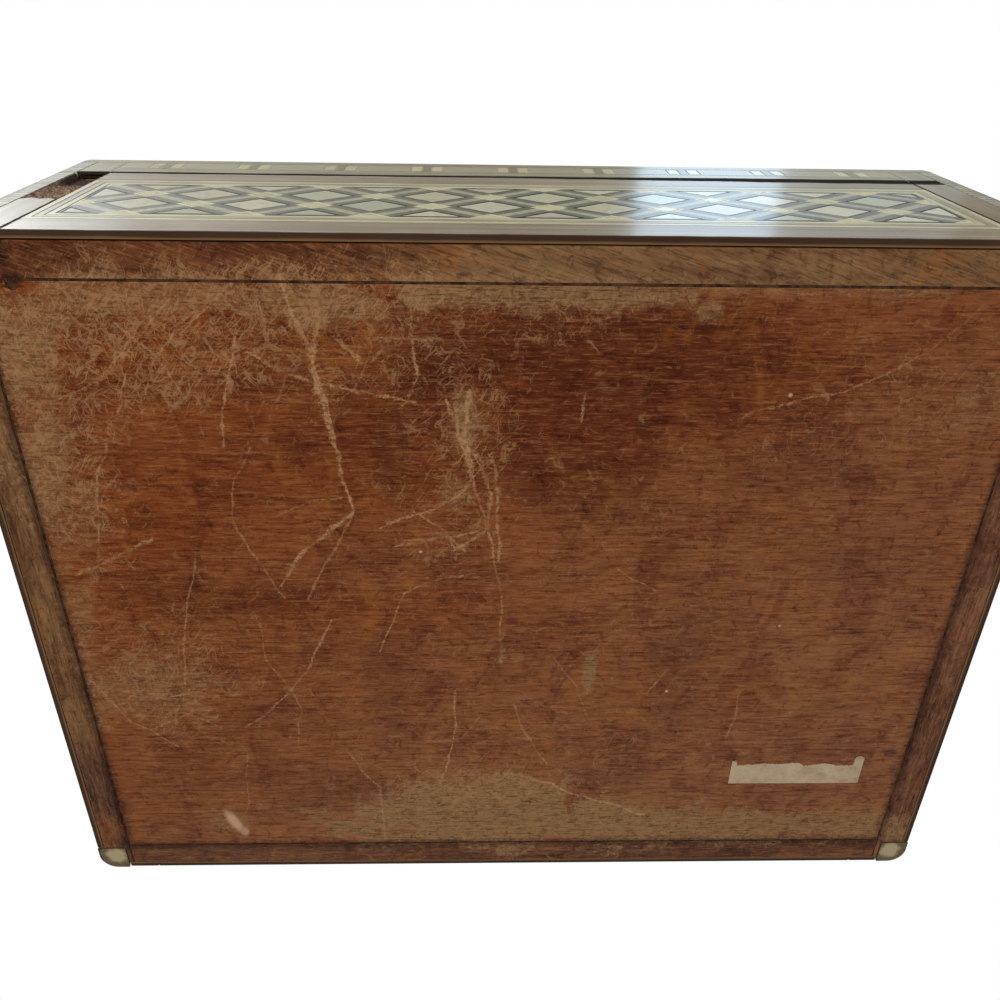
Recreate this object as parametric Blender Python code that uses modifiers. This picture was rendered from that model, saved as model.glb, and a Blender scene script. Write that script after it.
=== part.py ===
# Trinket box with marquetry sides, bone corner posts, a hinged lid and a velvet lining.
# The origin is at the centre of the underside, +X runs along the width, the front faces -Y.
import math

import bmesh
import bpy
from mathutils import Euler, Matrix, Vector

# Driving dimensions, in metres
WIDTH = 0.200
DEPTH = 0.155
BODY_HEIGHT = 0.052
SEAM_GAP = 0.0010
LID_RAIL_HEIGHT = 0.0117
LID_PANEL_THICKNESS = 0.0070
LID_EDGE_RADIUS = 0.0040
LID_EDGE_STEPS = 4
SMOOTH_DEGREES = 35
BASE_THICKNESS = 0.0050
BASE_GROOVE = 0.0005

# Fit between glued or resting neighbours, how far every cutter runs past what it cuts, and the
# share of the fit within which loose points are welded
GAP = 0.0003
OVERRUN = 0.0010
WELD_SHARE = 0.01

# Corner posts and the walls that are notched round them
POST_SIZE = 0.0066
POST_RADIUS = 0.0040
POST_ARC_STEPS = 6
NOTCH_LIP = 0.0009
WALL = POST_SIZE + GAP + NOTCH_LIP

# Marquetry on the sides: a face veneer over a thin backing sheet that carries the tiles
FACE_VENEER = 0.0006
BACKING = 0.0004
SKIN = FACE_VENEER + GAP + BACKING
SKIN_SEAT = SKIN + GAP
STILE_WIDTH = 0.0069
BOTTOM_RAIL = 0.0087
TOP_RAIL = 0.0077
LIGHT_LINE = 0.0011
DARK_LINE = 0.0012
LINE_GROOVE = 0.0003
GROOVE_DEPTH = 0.0002
STRINGING_WIDTH = 2 * LIGHT_LINE + DARK_LINE + 2 * LINE_GROOVE
LATTICE_PITCH = 0.0218
LATTICE_ROW = 0.0088
LATTICE_RIM = 0.0005
PEARL_SHARE = 0.58
BONE_SHARE = 0.27

# Rim of the lid
RIM_STRIP = 0.0047
RIM_PAIR_PITCH = 0.0190
RIM_BLOCK_WIDTH = 0.0022
RIM_BLOCK_SPACING = 0.0045
RIM_MARGIN = 0.0006

# Inlay on top of the lid
TOP_BORDER = 0.0085
TOP_BAND = 0.0150
TOP_PEARL_SHARE = 0.80
TOP_BONE_SHARE = 0.42
STAR_POINTS = 8
STAR_RADIUS = 0.0290
STAR_VALLEY_SHARE = 0.60
STAR_HEART_SHARE = 0.27
SATELLITE_SHARE = 0.92
SATELLITE_LENGTH = 0.0090
SATELLITE_WIDTH = 0.0062

# Linings
LINING = 0.0015
LINING_DROP = 0.0020
LID_LINING = 0.0020

# Damage at the front left: lost veneer on the stile, and a bite out of the wall above it
STILE_REMNANT = 0.0245
STILE_TEAR = 0.0012
STILE_TEAR_SHARES = (0.0, 0.7, 0.3, 1.0, 0.2)
CHIP_WIDTH = 0.0062
CHIP_HEIGHT = 0.0078
CHIP_DEPTH = 0.0050
CHIP_SHARES = ((0.0, 1.0), (0.0, 0.22), (0.20, 0.04), (0.52, 0.0), (0.84, 0.12), (1.0, 0.42), (0.94, 1.0))

# Knot hole at the edge of the base panel, measured from the box's left and front faces
KNOT_FROM_LEFT = 0.0142
KNOT_FROM_FRONT = 0.0088
KNOT_RADIUS = 0.0011
KNOT_DEPTH = 0.0030

# Hinges: two brass butt hinges on the rear face
HINGE_INSET = 0.0400
HINGE_LENGTH = 0.0240
HINGE_KNUCKLES = 5
KNUCKLE_RADIUS = 0.0017
PIN_RADIUS = 0.0007
PIN_CLEARANCE = 0.0002
PIN_OVERHANG = 0.0004
LEAF_THICKNESS = 0.0008
LEAF_REACH = 0.0080
ROUND_SIDES = 12

# Hinge screws
SCREW_INSET = 0.0050
SCREW_SETBACK = 0.0052
SCREW_HEAD_RADIUS = 0.0015
SCREW_HEAD_HEIGHT = 0.0007
SCREW_DOME_SHARE = 0.62
SCREW_SHANK_RADIUS = 0.0006
SCREW_LENGTH = 0.0065
SCREW_SIDES = 10

# Places worked out from the sizes above
HALF_WIDTH = WIDTH / 2
HALF_DEPTH = DEPTH / 2
LID_BOTTOM = BODY_HEIGHT + SEAM_GAP
PANEL_BOTTOM = LID_BOTTOM + LID_RAIL_HEIGHT + GAP
TOTAL_HEIGHT = PANEL_BOTTOM + LID_PANEL_THICKNESS
SCREW_SEAT = HALF_DEPTH + GAP + LEAF_THICKNESS + GAP
HINGE_CENTRE = HALF_WIDTH - HINGE_INSET
SCREW_OFFSET = HINGE_LENGTH / 2 - SCREW_INSET
HINGE_AXIS = Vector((0, HALF_DEPTH + GAP + KNUCKLE_RADIUS, BODY_HEIGHT + SEAM_GAP / 2))

# Colours of the materials
BROWN_WOOD = (0.20, 0.075, 0.032)
RAW_WOOD = (0.23, 0.13, 0.075)
VENEER_WOOD = (0.34, 0.24, 0.14)
BAND_WOOD = (0.11, 0.095, 0.07)
BONE = (0.72, 0.66, 0.48)
PEARL = (0.66, 0.67, 0.60)
VELVET = (0.22, 0.012, 0.018)
BRASS = (0.62, 0.42, 0.16)


def clear_scene():
    for obj in list(bpy.data.objects):
        bpy.data.objects.remove(obj, do_unlink=True)


def new_collection(name):
    collection = bpy.data.collections.new(name)
    bpy.context.scene.collection.children.link(collection)
    return collection


def principled(name, colour, roughness, metallic=0.0):
    material = bpy.data.materials.new(name)
    material.use_nodes = True
    shader = material.node_tree.nodes["Principled BSDF"]
    shader.inputs["Base Color"].default_value = (*colour, 1.0)
    shader.inputs["Roughness"].default_value = roughness
    shader.inputs["Metallic"].default_value = metallic
    return material


FINISHES = {
    "brown_wood": (BROWN_WOOD, 0.55, 0.0),
    "raw_wood": (RAW_WOOD, 0.75, 0.0),
    "veneer": (VENEER_WOOD, 0.40, 0.0),
    "band": (BAND_WOOD, 0.40, 0.0),
    "bone": (BONE, 0.35, 0.0),
    "pearl": (PEARL, 0.22, 0.0),
    "velvet": (VELVET, 0.95, 0.0),
    "brass": (BRASS, 0.35, 1.0),
}


def add(name, data, finish, parent=None):
    """Link a new object that shows its data in its own material."""
    obj = bpy.data.objects.new(name, data)
    PARTS.objects.link(obj)
    data.materials.clear()
    data.materials.append(principled(name + "_finish", *FINISHES[finish]))
    if parent is not None:
        obj.parent = parent
        obj.matrix_parent_inverse = Matrix.Translation(parent.location).inverted()
    return obj


def hidden_tool(name, mesh):
    """A cutter or a shape to be joined on, left out of the model."""
    obj = bpy.data.objects.new(name, mesh)
    TOOLS.objects.link(obj)
    obj.hide_render = True
    obj.display_type = "WIRE"
    return obj


def combine(target, operand, operation):
    modifier = target.modifiers.new(operand.name, "BOOLEAN")
    modifier.operation = operation
    modifier.solver = "EXACT"
    modifier.object = operand


def mesh_from(bm, name):
    mesh = bpy.data.meshes.new(name)
    bm.to_mesh(mesh)
    bm.free()
    return mesh


def cube_into(bm, low, high):
    """Add a box between two corners to a bmesh."""
    low = Vector(low)
    high = Vector(high)
    placement = Matrix.Translation((low + high) / 2) @ Matrix.Diagonal((*(high - low), 1.0))
    bmesh.ops.create_cube(bm, size=1.0, matrix=placement)


def rod_into(bm, start, end, radius, sides):
    """Add a closed cylinder between two points to a bmesh, with a flat of it on each axis."""
    start = Vector(start)
    along = Vector(end) - start
    turn = along.to_track_quat("Z", "Y").to_matrix().to_4x4()
    half_flat = Matrix.Rotation(math.pi / sides, 4, "Z")
    placement = Matrix.Translation(start + along / 2) @ turn @ half_flat
    bmesh.ops.create_cone(bm, cap_ends=True, segments=sides, radius1=radius, radius2=radius,
                          depth=along.length, matrix=placement)


def block(name, low, high, finish, parent=None):
    """A plain board placed by its centre."""
    centre = (Vector(low) + Vector(high)) / 2
    bm = bmesh.new()
    cube_into(bm, Vector(low) - centre, Vector(high) - centre)
    obj = add(name, mesh_from(bm, name), finish, parent)
    obj.location = centre
    return obj


def smooth_round(obj, degrees):
    obj.data.shade_smooth()
    obj.data.set_sharp_from_angle(angle=math.radians(degrees))


# Flat pieces. A face has its own across and up axes, and depths are measured inwards from it.
# The plan is the ground seen from above, so depths there are heights with the sign turned.
SIDES = {
    "front": (0, WIDTH, HALF_DEPTH),
    "right": (1, DEPTH, HALF_WIDTH),
    "rear": (2, WIDTH, HALF_DEPTH),
    "left": (3, DEPTH, HALF_WIDTH),
}


def place_on(obj, face, depth, thickness):
    """Lay a flat piece so that its outer surface lies at a depth below a face."""
    turn = Euler((0, 0, 0))
    distance = TOTAL_HEIGHT if face == "top" else 0
    if face in SIDES:
        quarter_turns, _, distance = SIDES[face]
        turn = Euler((math.pi / 2, 0, quarter_turns * math.pi / 2))
    obj.rotation_euler = turn
    obj.location = turn.to_matrix() @ Vector((0, 0, distance - depth - thickness / 2))


def flat_curve(name, outlines, thickness):
    """A filled 2D curve, with a hole wherever an outline lies inside another."""
    curve = bpy.data.curves.new(name, "CURVE")
    curve.dimensions = "2D"
    curve.fill_mode = "BOTH"
    curve.extrude = thickness / 2
    for outline in outlines:
        spline = curve.splines.new("POLY")
        spline.points.add(len(outline) - 1)
        for point, (across, up) in zip(spline.points, outline):
            point.co = (across, up, 0, 1)
        spline.use_cyclic_u = True
    return curve


def flat_mesh(name, outlines, thickness):
    """The same flat shape as a mesh, its caps welded to its sides, ready for Boolean work."""
    source = bpy.data.objects.new(name + "_outline", flat_curve(name, outlines, thickness))
    TOOLS.objects.link(source)
    bpy.context.view_layer.update()
    evaluated = source.evaluated_get(bpy.context.evaluated_depsgraph_get())
    mesh = bpy.data.meshes.new_from_object(evaluated)
    bpy.data.objects.remove(source, do_unlink=True)
    bm = bmesh.new()
    bm.from_mesh(mesh)
    bmesh.ops.remove_doubles(bm, verts=bm.verts, dist=GAP * WELD_SHARE)
    bm.to_mesh(mesh)
    bm.free()
    return mesh


def plate(name, face, outlines, depth, thickness, finish, parent=None):
    obj = add(name, flat_curve(name, outlines, thickness), finish, parent)
    place_on(obj, face, depth, thickness)
    return obj


def mesh_plate(name, face, outlines, depth, thickness, finish, parent=None):
    obj = add(name, flat_mesh(name, outlines, thickness), finish, parent)
    place_on(obj, face, depth, thickness)
    return obj


def plate_tool(name, face, outlines, depth, thickness):
    obj = hidden_tool(name, flat_mesh(name, outlines, thickness))
    place_on(obj, face, depth, thickness)
    return obj


# Outlines. Those that inset works on run anticlockwise.


def rectangle(left, low, right, high):
    return [(left, low), (right, low), (right, high), (left, high)]


def centred(half_across, half_up):
    return rectangle(-half_across, -half_up, half_across, half_up)


def inset(outline, distance):
    """Move every edge of an anticlockwise outline inwards."""
    moved = []
    count = len(outline)
    for index in range(count):
        here = Vector(outline[index])
        before = (here - Vector(outline[index - 1])).normalized()
        after = (Vector(outline[(index + 1) % count]) - here).normalized()
        inward_before = Vector((-before.y, before.x))
        inward_after = Vector((-after.y, after.x))
        shift = (inward_before + inward_after) / (1 + inward_before.dot(inward_after))
        moved.append(tuple(here + shift * distance))
    return moved


def tiles(openings):
    """The tiles that fill openings, clear of their edges."""
    return [inset(opening, GAP) for opening in openings]


def clipped(outline, left, low, right, high):
    """The part of a convex outline inside a rectangle."""
    for axis, limit, sign in ((0, left, 1), (0, right, -1), (1, low, 1), (1, high, -1)):
        kept = []
        for index, here in enumerate(outline):
            there = outline[(index + 1) % len(outline)]
            here_in = sign * (here[axis] - limit)
            there_in = sign * (there[axis] - limit)
            if here_in >= 0:
                kept.append(here)
            if here_in * there_in < 0:
                share = here_in / (here_in - there_in)
                kept.append(tuple(a + (b - a) * share for a, b in zip(here, there)))
        outline = kept
    return outline


def diamond(centre, half_across, half_up):
    x, y = centre
    return [(x - half_across, y), (x, y - half_up), (x + half_across, y), (x, y + half_up)]


def ring_point(radius, angle):
    return (radius * math.cos(angle), radius * math.sin(angle))


def circle(centre, radius):
    """A many-sided screw hole."""
    points = []
    for index in range(SCREW_SIDES):
        x, y = ring_point(radius, 2 * math.pi * (index + 0.5) / SCREW_SIDES)
        points.append((centre[0] + x, centre[1] + y))
    return points


def lattice_openings(left, low, right, high):
    """Openings of a side's lattice: large in the cells, small at the crossings between them."""
    columns = max(2, round((right - left) / (LATTICE_PITCH / 2)))
    rows = max(1, round((high - low) / LATTICE_ROW))
    step_across = (right - left) / columns
    step_up = (high - low) / rows
    window = (left + LATTICE_RIM, low + LATTICE_RIM, right - LATTICE_RIM, high - LATTICE_RIM)
    openings = []
    for column in range(columns + 1):
        for row in range(rows + 1):
            centre = (left + column * step_across, low + row * step_up)
            share = BONE_SHARE if (column + row) % 2 else PEARL_SHARE
            shape = diamond(centre, share * step_across, share * step_up)
            openings.append(clipped(shape, *window))
    return openings


def tile_sheet(name, face, outlines, openings, finish, parent=None):
    """Tiles that stand on a thin backing and fill the openings of the veneer in front of it."""
    front_of_backing = FACE_VENEER + GAP
    sheet = mesh_plate(name, face, outlines, front_of_backing, BACKING, finish, parent)
    root = front_of_backing + BACKING / 2
    combine(sheet, plate_tool(name + "_tiles", face, tiles(openings), 0, root), "UNION")


def stringing(name, face, frame, parent=None):
    """A frame of three lines, light, dark and light, parted by fine grooves."""
    inner = inset(frame, STRINGING_WIDTH)
    ring = mesh_plate(name, face, [frame, inner], 0, SKIN, "bone", parent)
    outer_groove = LIGHT_LINE
    inner_groove = LIGHT_LINE + LINE_GROOVE + DARK_LINE
    for place, start in (("outer", outer_groove), ("inner", inner_groove)):
        groove = [inset(frame, start), inset(frame, start + LINE_GROOVE)]
        combine(ring, joint_tool(name + "_" + place + "_groove", face, groove), "DIFFERENCE")


def joint_tool(name, face, outlines):
    """Cutter for the fine lines where veneers meet."""
    return plate_tool(name, face, outlines, -OVERRUN, OVERRUN + GROOVE_DEPTH)


# The side skins


def side_edges(side):
    """Half lengths at which the stile veneer of a side begins, and at which it ends."""
    post = SIDES[side][1] / 2 - POST_SIZE - GAP
    return post, post - STILE_WIDTH


def torn_border(post, inner, rail_low, rail_high):
    """The front's border: its left stile is torn off across the grain, and lost above that."""
    outline = [(-post, GAP), (post, GAP), (post, BODY_HEIGHT), (-inner, BODY_HEIGHT)]
    outline += [(-inner, rail_high), (inner, rail_high), (inner, rail_low), (-inner, rail_low)]
    last = len(STILE_TEAR_SHARES) - 1
    for index, share in enumerate(STILE_TEAR_SHARES):
        across = -inner - (post - inner) * index / last
        outline.append((across, STILE_REMNANT + share * STILE_TEAR))
    return [outline]


def side_border(side):
    """Veneer frame of a side, with fine joints between its stiles and rails."""
    post, inner = side_edges(side)
    rail_low = BOTTOM_RAIL
    rail_high = BODY_HEIGHT - TOP_RAIL
    outlines = [rectangle(-post, GAP, post, BODY_HEIGHT), rectangle(-inner, rail_low, inner, rail_high)]
    if side == "front":
        outlines = torn_border(post, inner, rail_low, rail_high)
    if side == "rear":
        outlines += screw_holes(HINGE_AXIS.z - SCREW_SETBACK)
    border = mesh_plate(side + "_border_veneer", side, outlines, 0, SKIN, "veneer")
    joints = []
    for left in (-inner - LINE_GROOVE, inner):
        joints.append(rectangle(left, -OVERRUN, left + LINE_GROOVE, rail_low - GAP))
        if side != "front" or left > 0:
            joints.append(rectangle(left, rail_high + GAP, left + LINE_GROOVE, BODY_HEIGHT + OVERRUN))
    combine(border, joint_tool(side + "_border_joints", side, joints), "DIFFERENCE")
    return rectangle(GAP - inner, rail_low + GAP, inner - GAP, rail_high - GAP)


def side_skin(side):
    """Border veneer and inlay of one side. The rear is plain inside its border."""
    frame = side_border(side)
    if side == "rear":
        plate("rear_field_veneer", side, [frame], 0, SKIN, "veneer")
        return
    stringing(side + "_stringing", side, frame)
    field = inset(frame, STRINGING_WIDTH + GAP)
    openings = lattice_openings(*field[0], *field[2])
    plate(side + "_lattice_bands", side, [field] + openings, 0, FACE_VENEER, "band")
    tile_sheet(side + "_lattice_tiles", side, [field], openings, "pearl")


def rim_openings(inner, low, high):
    """Openings for pairs of bone blocks along one edge of the lid."""
    pairs = max(1, round(2 * inner / RIM_PAIR_PITCH))
    pitch = 2 * inner / pairs
    openings = []
    for pair in range(pairs):
        middle = (pair + 0.5) * pitch - inner
        for sign in (-1, 1):
            across = middle + sign * RIM_BLOCK_SPACING / 2
            reach = RIM_BLOCK_WIDTH / 2 + GAP
            openings.append(rectangle(across - reach, low, across + reach, high))
    return openings


def rim_skin(side, parent):
    """Veneer of one edge of the lid: a plain strip, and a band of bone blocks above it."""
    post, inner = side_edges(side)
    low = LID_BOTTOM
    high = LID_BOTTOM + LID_RAIL_HEIGHT
    strip_top = low + RIM_STRIP
    whole = rectangle(-post, low, post, high)
    if side == "rear":
        outlines = [whole] + screw_holes(HINGE_AXIS.z + SCREW_SETBACK)
        veneer = mesh_plate("rear_rim_veneer", side, outlines, 0, SKIN, "veneer", parent)
    else:
        openings = rim_openings(inner, strip_top + LINE_GROOVE + RIM_MARGIN, high - RIM_MARGIN)
        name = side + "_rim_veneer"
        veneer = mesh_plate(name, side, [whole], 0, FACE_VENEER, "veneer", parent)
        through = plate_tool(side + "_rim_openings", side, openings, -OVERRUN, 2 * OVERRUN + FACE_VENEER)
        combine(veneer, through, "DIFFERENCE")
        tile_sheet(side + "_rim_blocks", side, [whole], openings, "bone", parent)
    joints = [rectangle(GAP - inner, strip_top, inner - GAP, strip_top + LINE_GROOVE)]
    for left in (-inner - LINE_GROOVE, inner):
        joints.append(rectangle(left, low - OVERRUN, left + LINE_GROOVE, high + OVERRUN))
    combine(veneer, joint_tool(side + "_rim_joints", side, joints), "DIFFERENCE")


# The walls and the posts, for the body and again for the lid


def post_outline(sign_x, sign_y):
    """Plan of a corner post: square, with its outer corner rounded."""
    x = HALF_WIDTH
    y = HALF_DEPTH
    outline = [(x - POST_SIZE, y - POST_SIZE), (x, y - POST_SIZE)]
    for step in range(POST_ARC_STEPS + 1):
        across, up = ring_point(POST_RADIUS, math.pi / 2 * step / POST_ARC_STEPS)
        outline.append((x - POST_RADIUS + across, y - POST_RADIUS + up))
    outline.append((x - POST_SIZE, y))
    return [(sign_x * px, sign_y * py) for px, py in outline]


def end_board_outline(sign):
    """Plan of an end wall: it runs the whole depth and is notched round both posts."""
    inner = HALF_WIDTH - WALL
    outer = HALF_WIDTH - SKIN_SEAT
    notch = HALF_WIDTH - POST_SIZE - GAP
    end = HALF_DEPTH - SKIN_SEAT
    shoulder = HALF_DEPTH - POST_SIZE - GAP
    half = [(inner, end), (notch, end), (notch, shoulder), (outer, shoulder)]
    outline = half + [(x, -y) for x, y in reversed(half)]
    return [(sign * x, y) for x, y in outline]


def carcass(prefix, suffix, bottom, top, parent=None):
    """Two long boards between two notched end boards, and four corner posts."""
    boards = {}
    height = top - bottom
    long_half = HALF_WIDTH - WALL - GAP
    for side, sign in (("front", -1), ("rear", 1)):
        near, far = sorted((sign * (HALF_DEPTH - WALL), sign * (HALF_DEPTH - SKIN_SEAT)))
        low = (-long_half, near, bottom)
        high = (long_half, far, top)
        boards[side] = block(prefix + side + suffix, low, high, "raw_wood", parent)
    for end, sign in (("left", -1), ("right", 1)):
        outline = end_board_outline(sign)
        name = prefix + end + suffix
        boards[end] = mesh_plate(name, "plan", [outline], -top, height, "raw_wood", parent)
    for side, sign_y in (("front", -1), ("rear", 1)):
        for end, sign_x in (("left", -1), ("right", 1)):
            name = prefix + side + "_" + end + "_post"
            plate(name, "plan", [post_outline(sign_x, sign_y)], -top, height, "bone", parent)
    return boards


# The body


def body():
    boards = carcass("", "_board", 0, BODY_HEIGHT)
    bores = screw_bores("body_screw_bores", HINGE_AXIS.z - SCREW_SETBACK)
    combine(boards["rear"], bores, "DIFFERENCE")
    chip = chip_cutter()
    combine(boards["front"], chip, "DIFFERENCE")
    combine(boards["left"], chip, "DIFFERENCE")
    base_panel()
    for side in SIDES:
        side_skin(side)
    body_lining()


def chip_cutter():
    """Cutter for the bite out of the wall, beside the front left post and up to the seam."""
    left = POST_SIZE - HALF_WIDTH
    low = BODY_HEIGHT - CHIP_HEIGHT
    outline = []
    for across, up in CHIP_SHARES:
        outline.append((left + across * CHIP_WIDTH, low + up * (CHIP_HEIGHT + OVERRUN)))
    return plate_tool("chip_cutter", "front", [outline], -OVERRUN, OVERRUN + SKIN_SEAT + CHIP_DEPTH)


def base_panel():
    """The bottom board, let in flush between the walls with a fine groove all round."""
    half_x = HALF_WIDTH - WALL - BASE_GROOVE
    half_y = HALF_DEPTH - WALL - BASE_GROOVE
    panel = block("base_panel", (-half_x, -half_y, 0), (half_x, half_y, BASE_THICKNESS), "brown_wood")
    x = KNOT_FROM_LEFT - HALF_WIDTH
    y = KNOT_FROM_FRONT - HALF_DEPTH
    bm = bmesh.new()
    rod_into(bm, (x, y, -OVERRUN), (x, y, KNOT_DEPTH), KNOT_RADIUS, ROUND_SIDES)
    combine(panel, hidden_tool("knot_cutter", mesh_from(bm, "knot_cutter")), "DIFFERENCE")


def body_lining():
    """Velvet on the base and up the four walls, in one formed piece."""
    x = HALF_WIDTH - WALL - GAP
    y = HALF_DEPTH - WALL - GAP
    floor = BASE_THICKNESS + GAP
    top = BODY_HEIGHT - LINING_DROP
    tray = block("body_lining", (-x, -y, floor), (x, y, top), "velvet")
    bm = bmesh.new()
    cube_into(bm, (LINING - x, LINING - y, floor + LINING), (x - LINING, y - LINING, top + OVERRUN))
    combine(tray, hidden_tool("lining_hollow", mesh_from(bm, "lining_hollow")), "DIFFERENCE")


# The lid


def lid(parent):
    rails = carcass("lid_", "_rail", LID_BOTTOM, LID_BOTTOM + LID_RAIL_HEIGHT, parent)
    bores = screw_bores("lid_screw_bores", HINGE_AXIS.z + SCREW_SETBACK)
    combine(rails["rear"], bores, "DIFFERENCE")
    lid_panel(parent)
    for side in SIDES:
        rim_skin(side, parent)
    lid_inlay(parent)
    x = HALF_WIDTH - WALL - GAP
    y = HALF_DEPTH - WALL - GAP
    ceiling = PANEL_BOTTOM - GAP
    block("lid_lining", (-x, -y, ceiling - LID_LINING), (x, y, ceiling), "velvet", parent)


def lid_panel(parent):
    """The top board: rounded corners and upper edge, with a shallow pocket for the inlay."""
    bm = bmesh.new()
    half = LID_PANEL_THICKNESS / 2
    cube_into(bm, (-HALF_WIDTH, -HALF_DEPTH, -half), (HALF_WIDTH, HALF_DEPTH, half))
    lower = [edge for edge in bm.edges if all(vert.co.z < 0 for vert in edge.verts)]
    rounded = [edge for edge in bm.edges if edge not in lower]
    bmesh.ops.bevel(bm, geom=rounded, offset=LID_EDGE_RADIUS, segments=LID_EDGE_STEPS, profile=0.5,
                    affect="EDGES")
    panel = add("lid_panel", mesh_from(bm, "lid_panel"), "brown_wood", parent)
    panel.location = (0, 0, PANEL_BOTTOM + half)
    smooth_round(panel, SMOOTH_DEGREES)
    pocket = centred(HALF_WIDTH - TOP_BORDER, HALF_DEPTH - TOP_BORDER)
    combine(panel, plate_tool("inlay_pocket", "top", [pocket], -OVERRUN, OVERRUN + SKIN_SEAT), "DIFFERENCE")


def top_band_openings(outer):
    """Openings of one row of diamonds round the top: the long runs, with the corners, come first."""
    middle = (outer[0] - TOP_BAND / 2, outer[1] - TOP_BAND / 2)
    openings = []
    for axis in (0, 1):
        steps = 2 * max(1, round(middle[axis] / (LATTICE_PITCH / 2)))
        step = 2 * middle[axis] / steps
        corners_done = axis
        for index in range(corners_done, steps + 1 - corners_done):
            small = index % 2
            along = (BONE_SHARE if small else PEARL_SHARE) * step
            wide = (TOP_BONE_SHARE if small else TOP_PEARL_SHARE) * TOP_BAND / 2
            if index in (0, steps):
                along = wide
            for sign in (-1, 1):
                centre = (index * step - middle[axis], sign * middle[1 - axis])
                if axis == 0:
                    openings.append(diamond(centre, along, wide))
                else:
                    openings.append(diamond(centre[::-1], wide, along))
    return openings


def star_openings():
    """Petals and heart of the centre star, and the small diamonds between its points."""
    heart_radius = STAR_RADIUS * STAR_HEART_SHARE
    valley_radius = STAR_RADIUS * STAR_VALLEY_SHARE
    half_step = math.pi / STAR_POINTS
    heart = []
    petals = []
    satellites = []
    for index in range(STAR_POINTS):
        before = (2 * index - 1) * half_step
        tip = 2 * index * half_step
        after = (2 * index + 1) * half_step
        heart.append(ring_point(heart_radius, before))
        petals.append([
            ring_point(heart_radius, before),
            ring_point(valley_radius, before),
            ring_point(STAR_RADIUS, tip),
            ring_point(valley_radius, after),
            ring_point(heart_radius, after),
        ])
        turn = Matrix.Rotation(before, 2)
        shape = diamond((STAR_RADIUS * SATELLITE_SHARE, 0), SATELLITE_LENGTH / 2, SATELLITE_WIDTH / 2)
        satellites.append([tuple(turn @ Vector(point)) for point in shape])
    return petals, heart, satellites


def lid_inlay(parent):
    """Stringing, a band of diamonds, and a veneered centre with an eight-pointed star."""
    frame = centred(HALF_WIDTH - TOP_BORDER - GAP, HALF_DEPTH - TOP_BORDER - GAP)
    stringing("top_stringing", "top", frame, parent)
    band = inset(frame, STRINGING_WIDTH + GAP)
    band_inner = inset(band, TOP_BAND)
    openings = top_band_openings(band[2])
    plate("top_diamond_band", "top", [band, band_inner] + openings, 0, FACE_VENEER, "band", parent)
    tile_sheet("top_band_tiles", "top", [band, band_inner], openings, "pearl", parent)
    centre = inset(band_inner, GAP)
    petals, heart, satellites = star_openings()
    star = [point for petal in petals for point in petal[1:3]]
    plate("top_centre_veneer", "top", [centre, star] + satellites, 0, FACE_VENEER, "veneer", parent)
    tile_sheet("top_star", "top", [centre], petals + [heart] + satellites, "pearl", parent)


# The hinges and their screws


def screw_places():
    """Distances of the screws from the middle of the rear face, with the words for each."""
    places = {}
    for hinge, side in (("left", -1), ("right", 1)):
        for screw, way in (("left", -1), ("right", 1)):
            places[hinge, screw] = side * HINGE_CENTRE + way * SCREW_OFFSET
    return places


def screw_holes(height):
    radius = SCREW_SHANK_RADIUS + GAP
    return [circle((across, height), radius) for across in screw_places().values()]


def screw_bores(name, height):
    """Cutter for the screw holes in a rear board or rail."""
    bm = bmesh.new()
    deep = SCREW_SEAT - SCREW_LENGTH - GAP
    for across in screw_places().values():
        rod_into(bm, (across, HALF_DEPTH, height), (across, deep, height),
                 SCREW_SHANK_RADIUS + GAP, SCREW_SIDES)
    return hidden_tool(name, mesh_from(bm, name))


def screw_mesh():
    """A round-headed screw turned from its half section, its seat at zero and its tip down."""
    points = [
        (0, SCREW_HEAD_HEIGHT),
        (SCREW_HEAD_RADIUS * SCREW_DOME_SHARE, SCREW_HEAD_HEIGHT * (1 + SCREW_DOME_SHARE) / 2),
        (SCREW_HEAD_RADIUS, 0),
        (SCREW_SHANK_RADIUS, 0),
        (SCREW_SHANK_RADIUS, SCREW_SHANK_RADIUS - SCREW_LENGTH),
        (0, -SCREW_LENGTH),
    ]
    profile = bpy.data.meshes.new("screw_profile")
    edges = [(index, index + 1) for index in range(len(points) - 1)]
    profile.from_pydata([(x, 0, z) for x, z in points], edges, [])
    turned = hidden_tool("screw_turning", profile)
    turning = turned.modifiers.new("turning", "SCREW")
    turning.steps = SCREW_SIDES
    turning.render_steps = SCREW_SIDES
    turning.use_merge_vertices = True
    turning.merge_threshold = GAP * WELD_SHARE
    bpy.context.view_layer.update()
    evaluated = turned.evaluated_get(bpy.context.evaluated_depsgraph_get())
    mesh = bpy.data.meshes.new_from_object(evaluated)
    bpy.data.objects.remove(turned, do_unlink=True)
    return mesh


def screws(leaf, height, parent=None):
    """The four screws of the body's leaves, or of the lid's, with their heads to the rear."""
    turned = screw_mesh()
    for (hinge, screw), across in screw_places().items():
        name = "hinge_" + hinge + "_" + leaf + "_screw_" + screw
        obj = add(name, turned.copy(), "brass", parent)
        obj.rotation_euler = (-math.pi / 2, 0, 0)
        obj.location = (across, SCREW_SEAT, height)
        smooth_round(obj, SMOOTH_DEGREES)


def knuckle_spans(own):
    """Start and end of each knuckle of one leaf, along the hinge from its middle."""
    pitch = HINGE_LENGTH / HINGE_KNUCKLES
    spans = []
    for index in range(own, HINGE_KNUCKLES, 2):
        start = index * pitch - HINGE_LENGTH / 2
        spans.append((start + GAP / 2, start + pitch - GAP / 2))
    return spans


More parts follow.
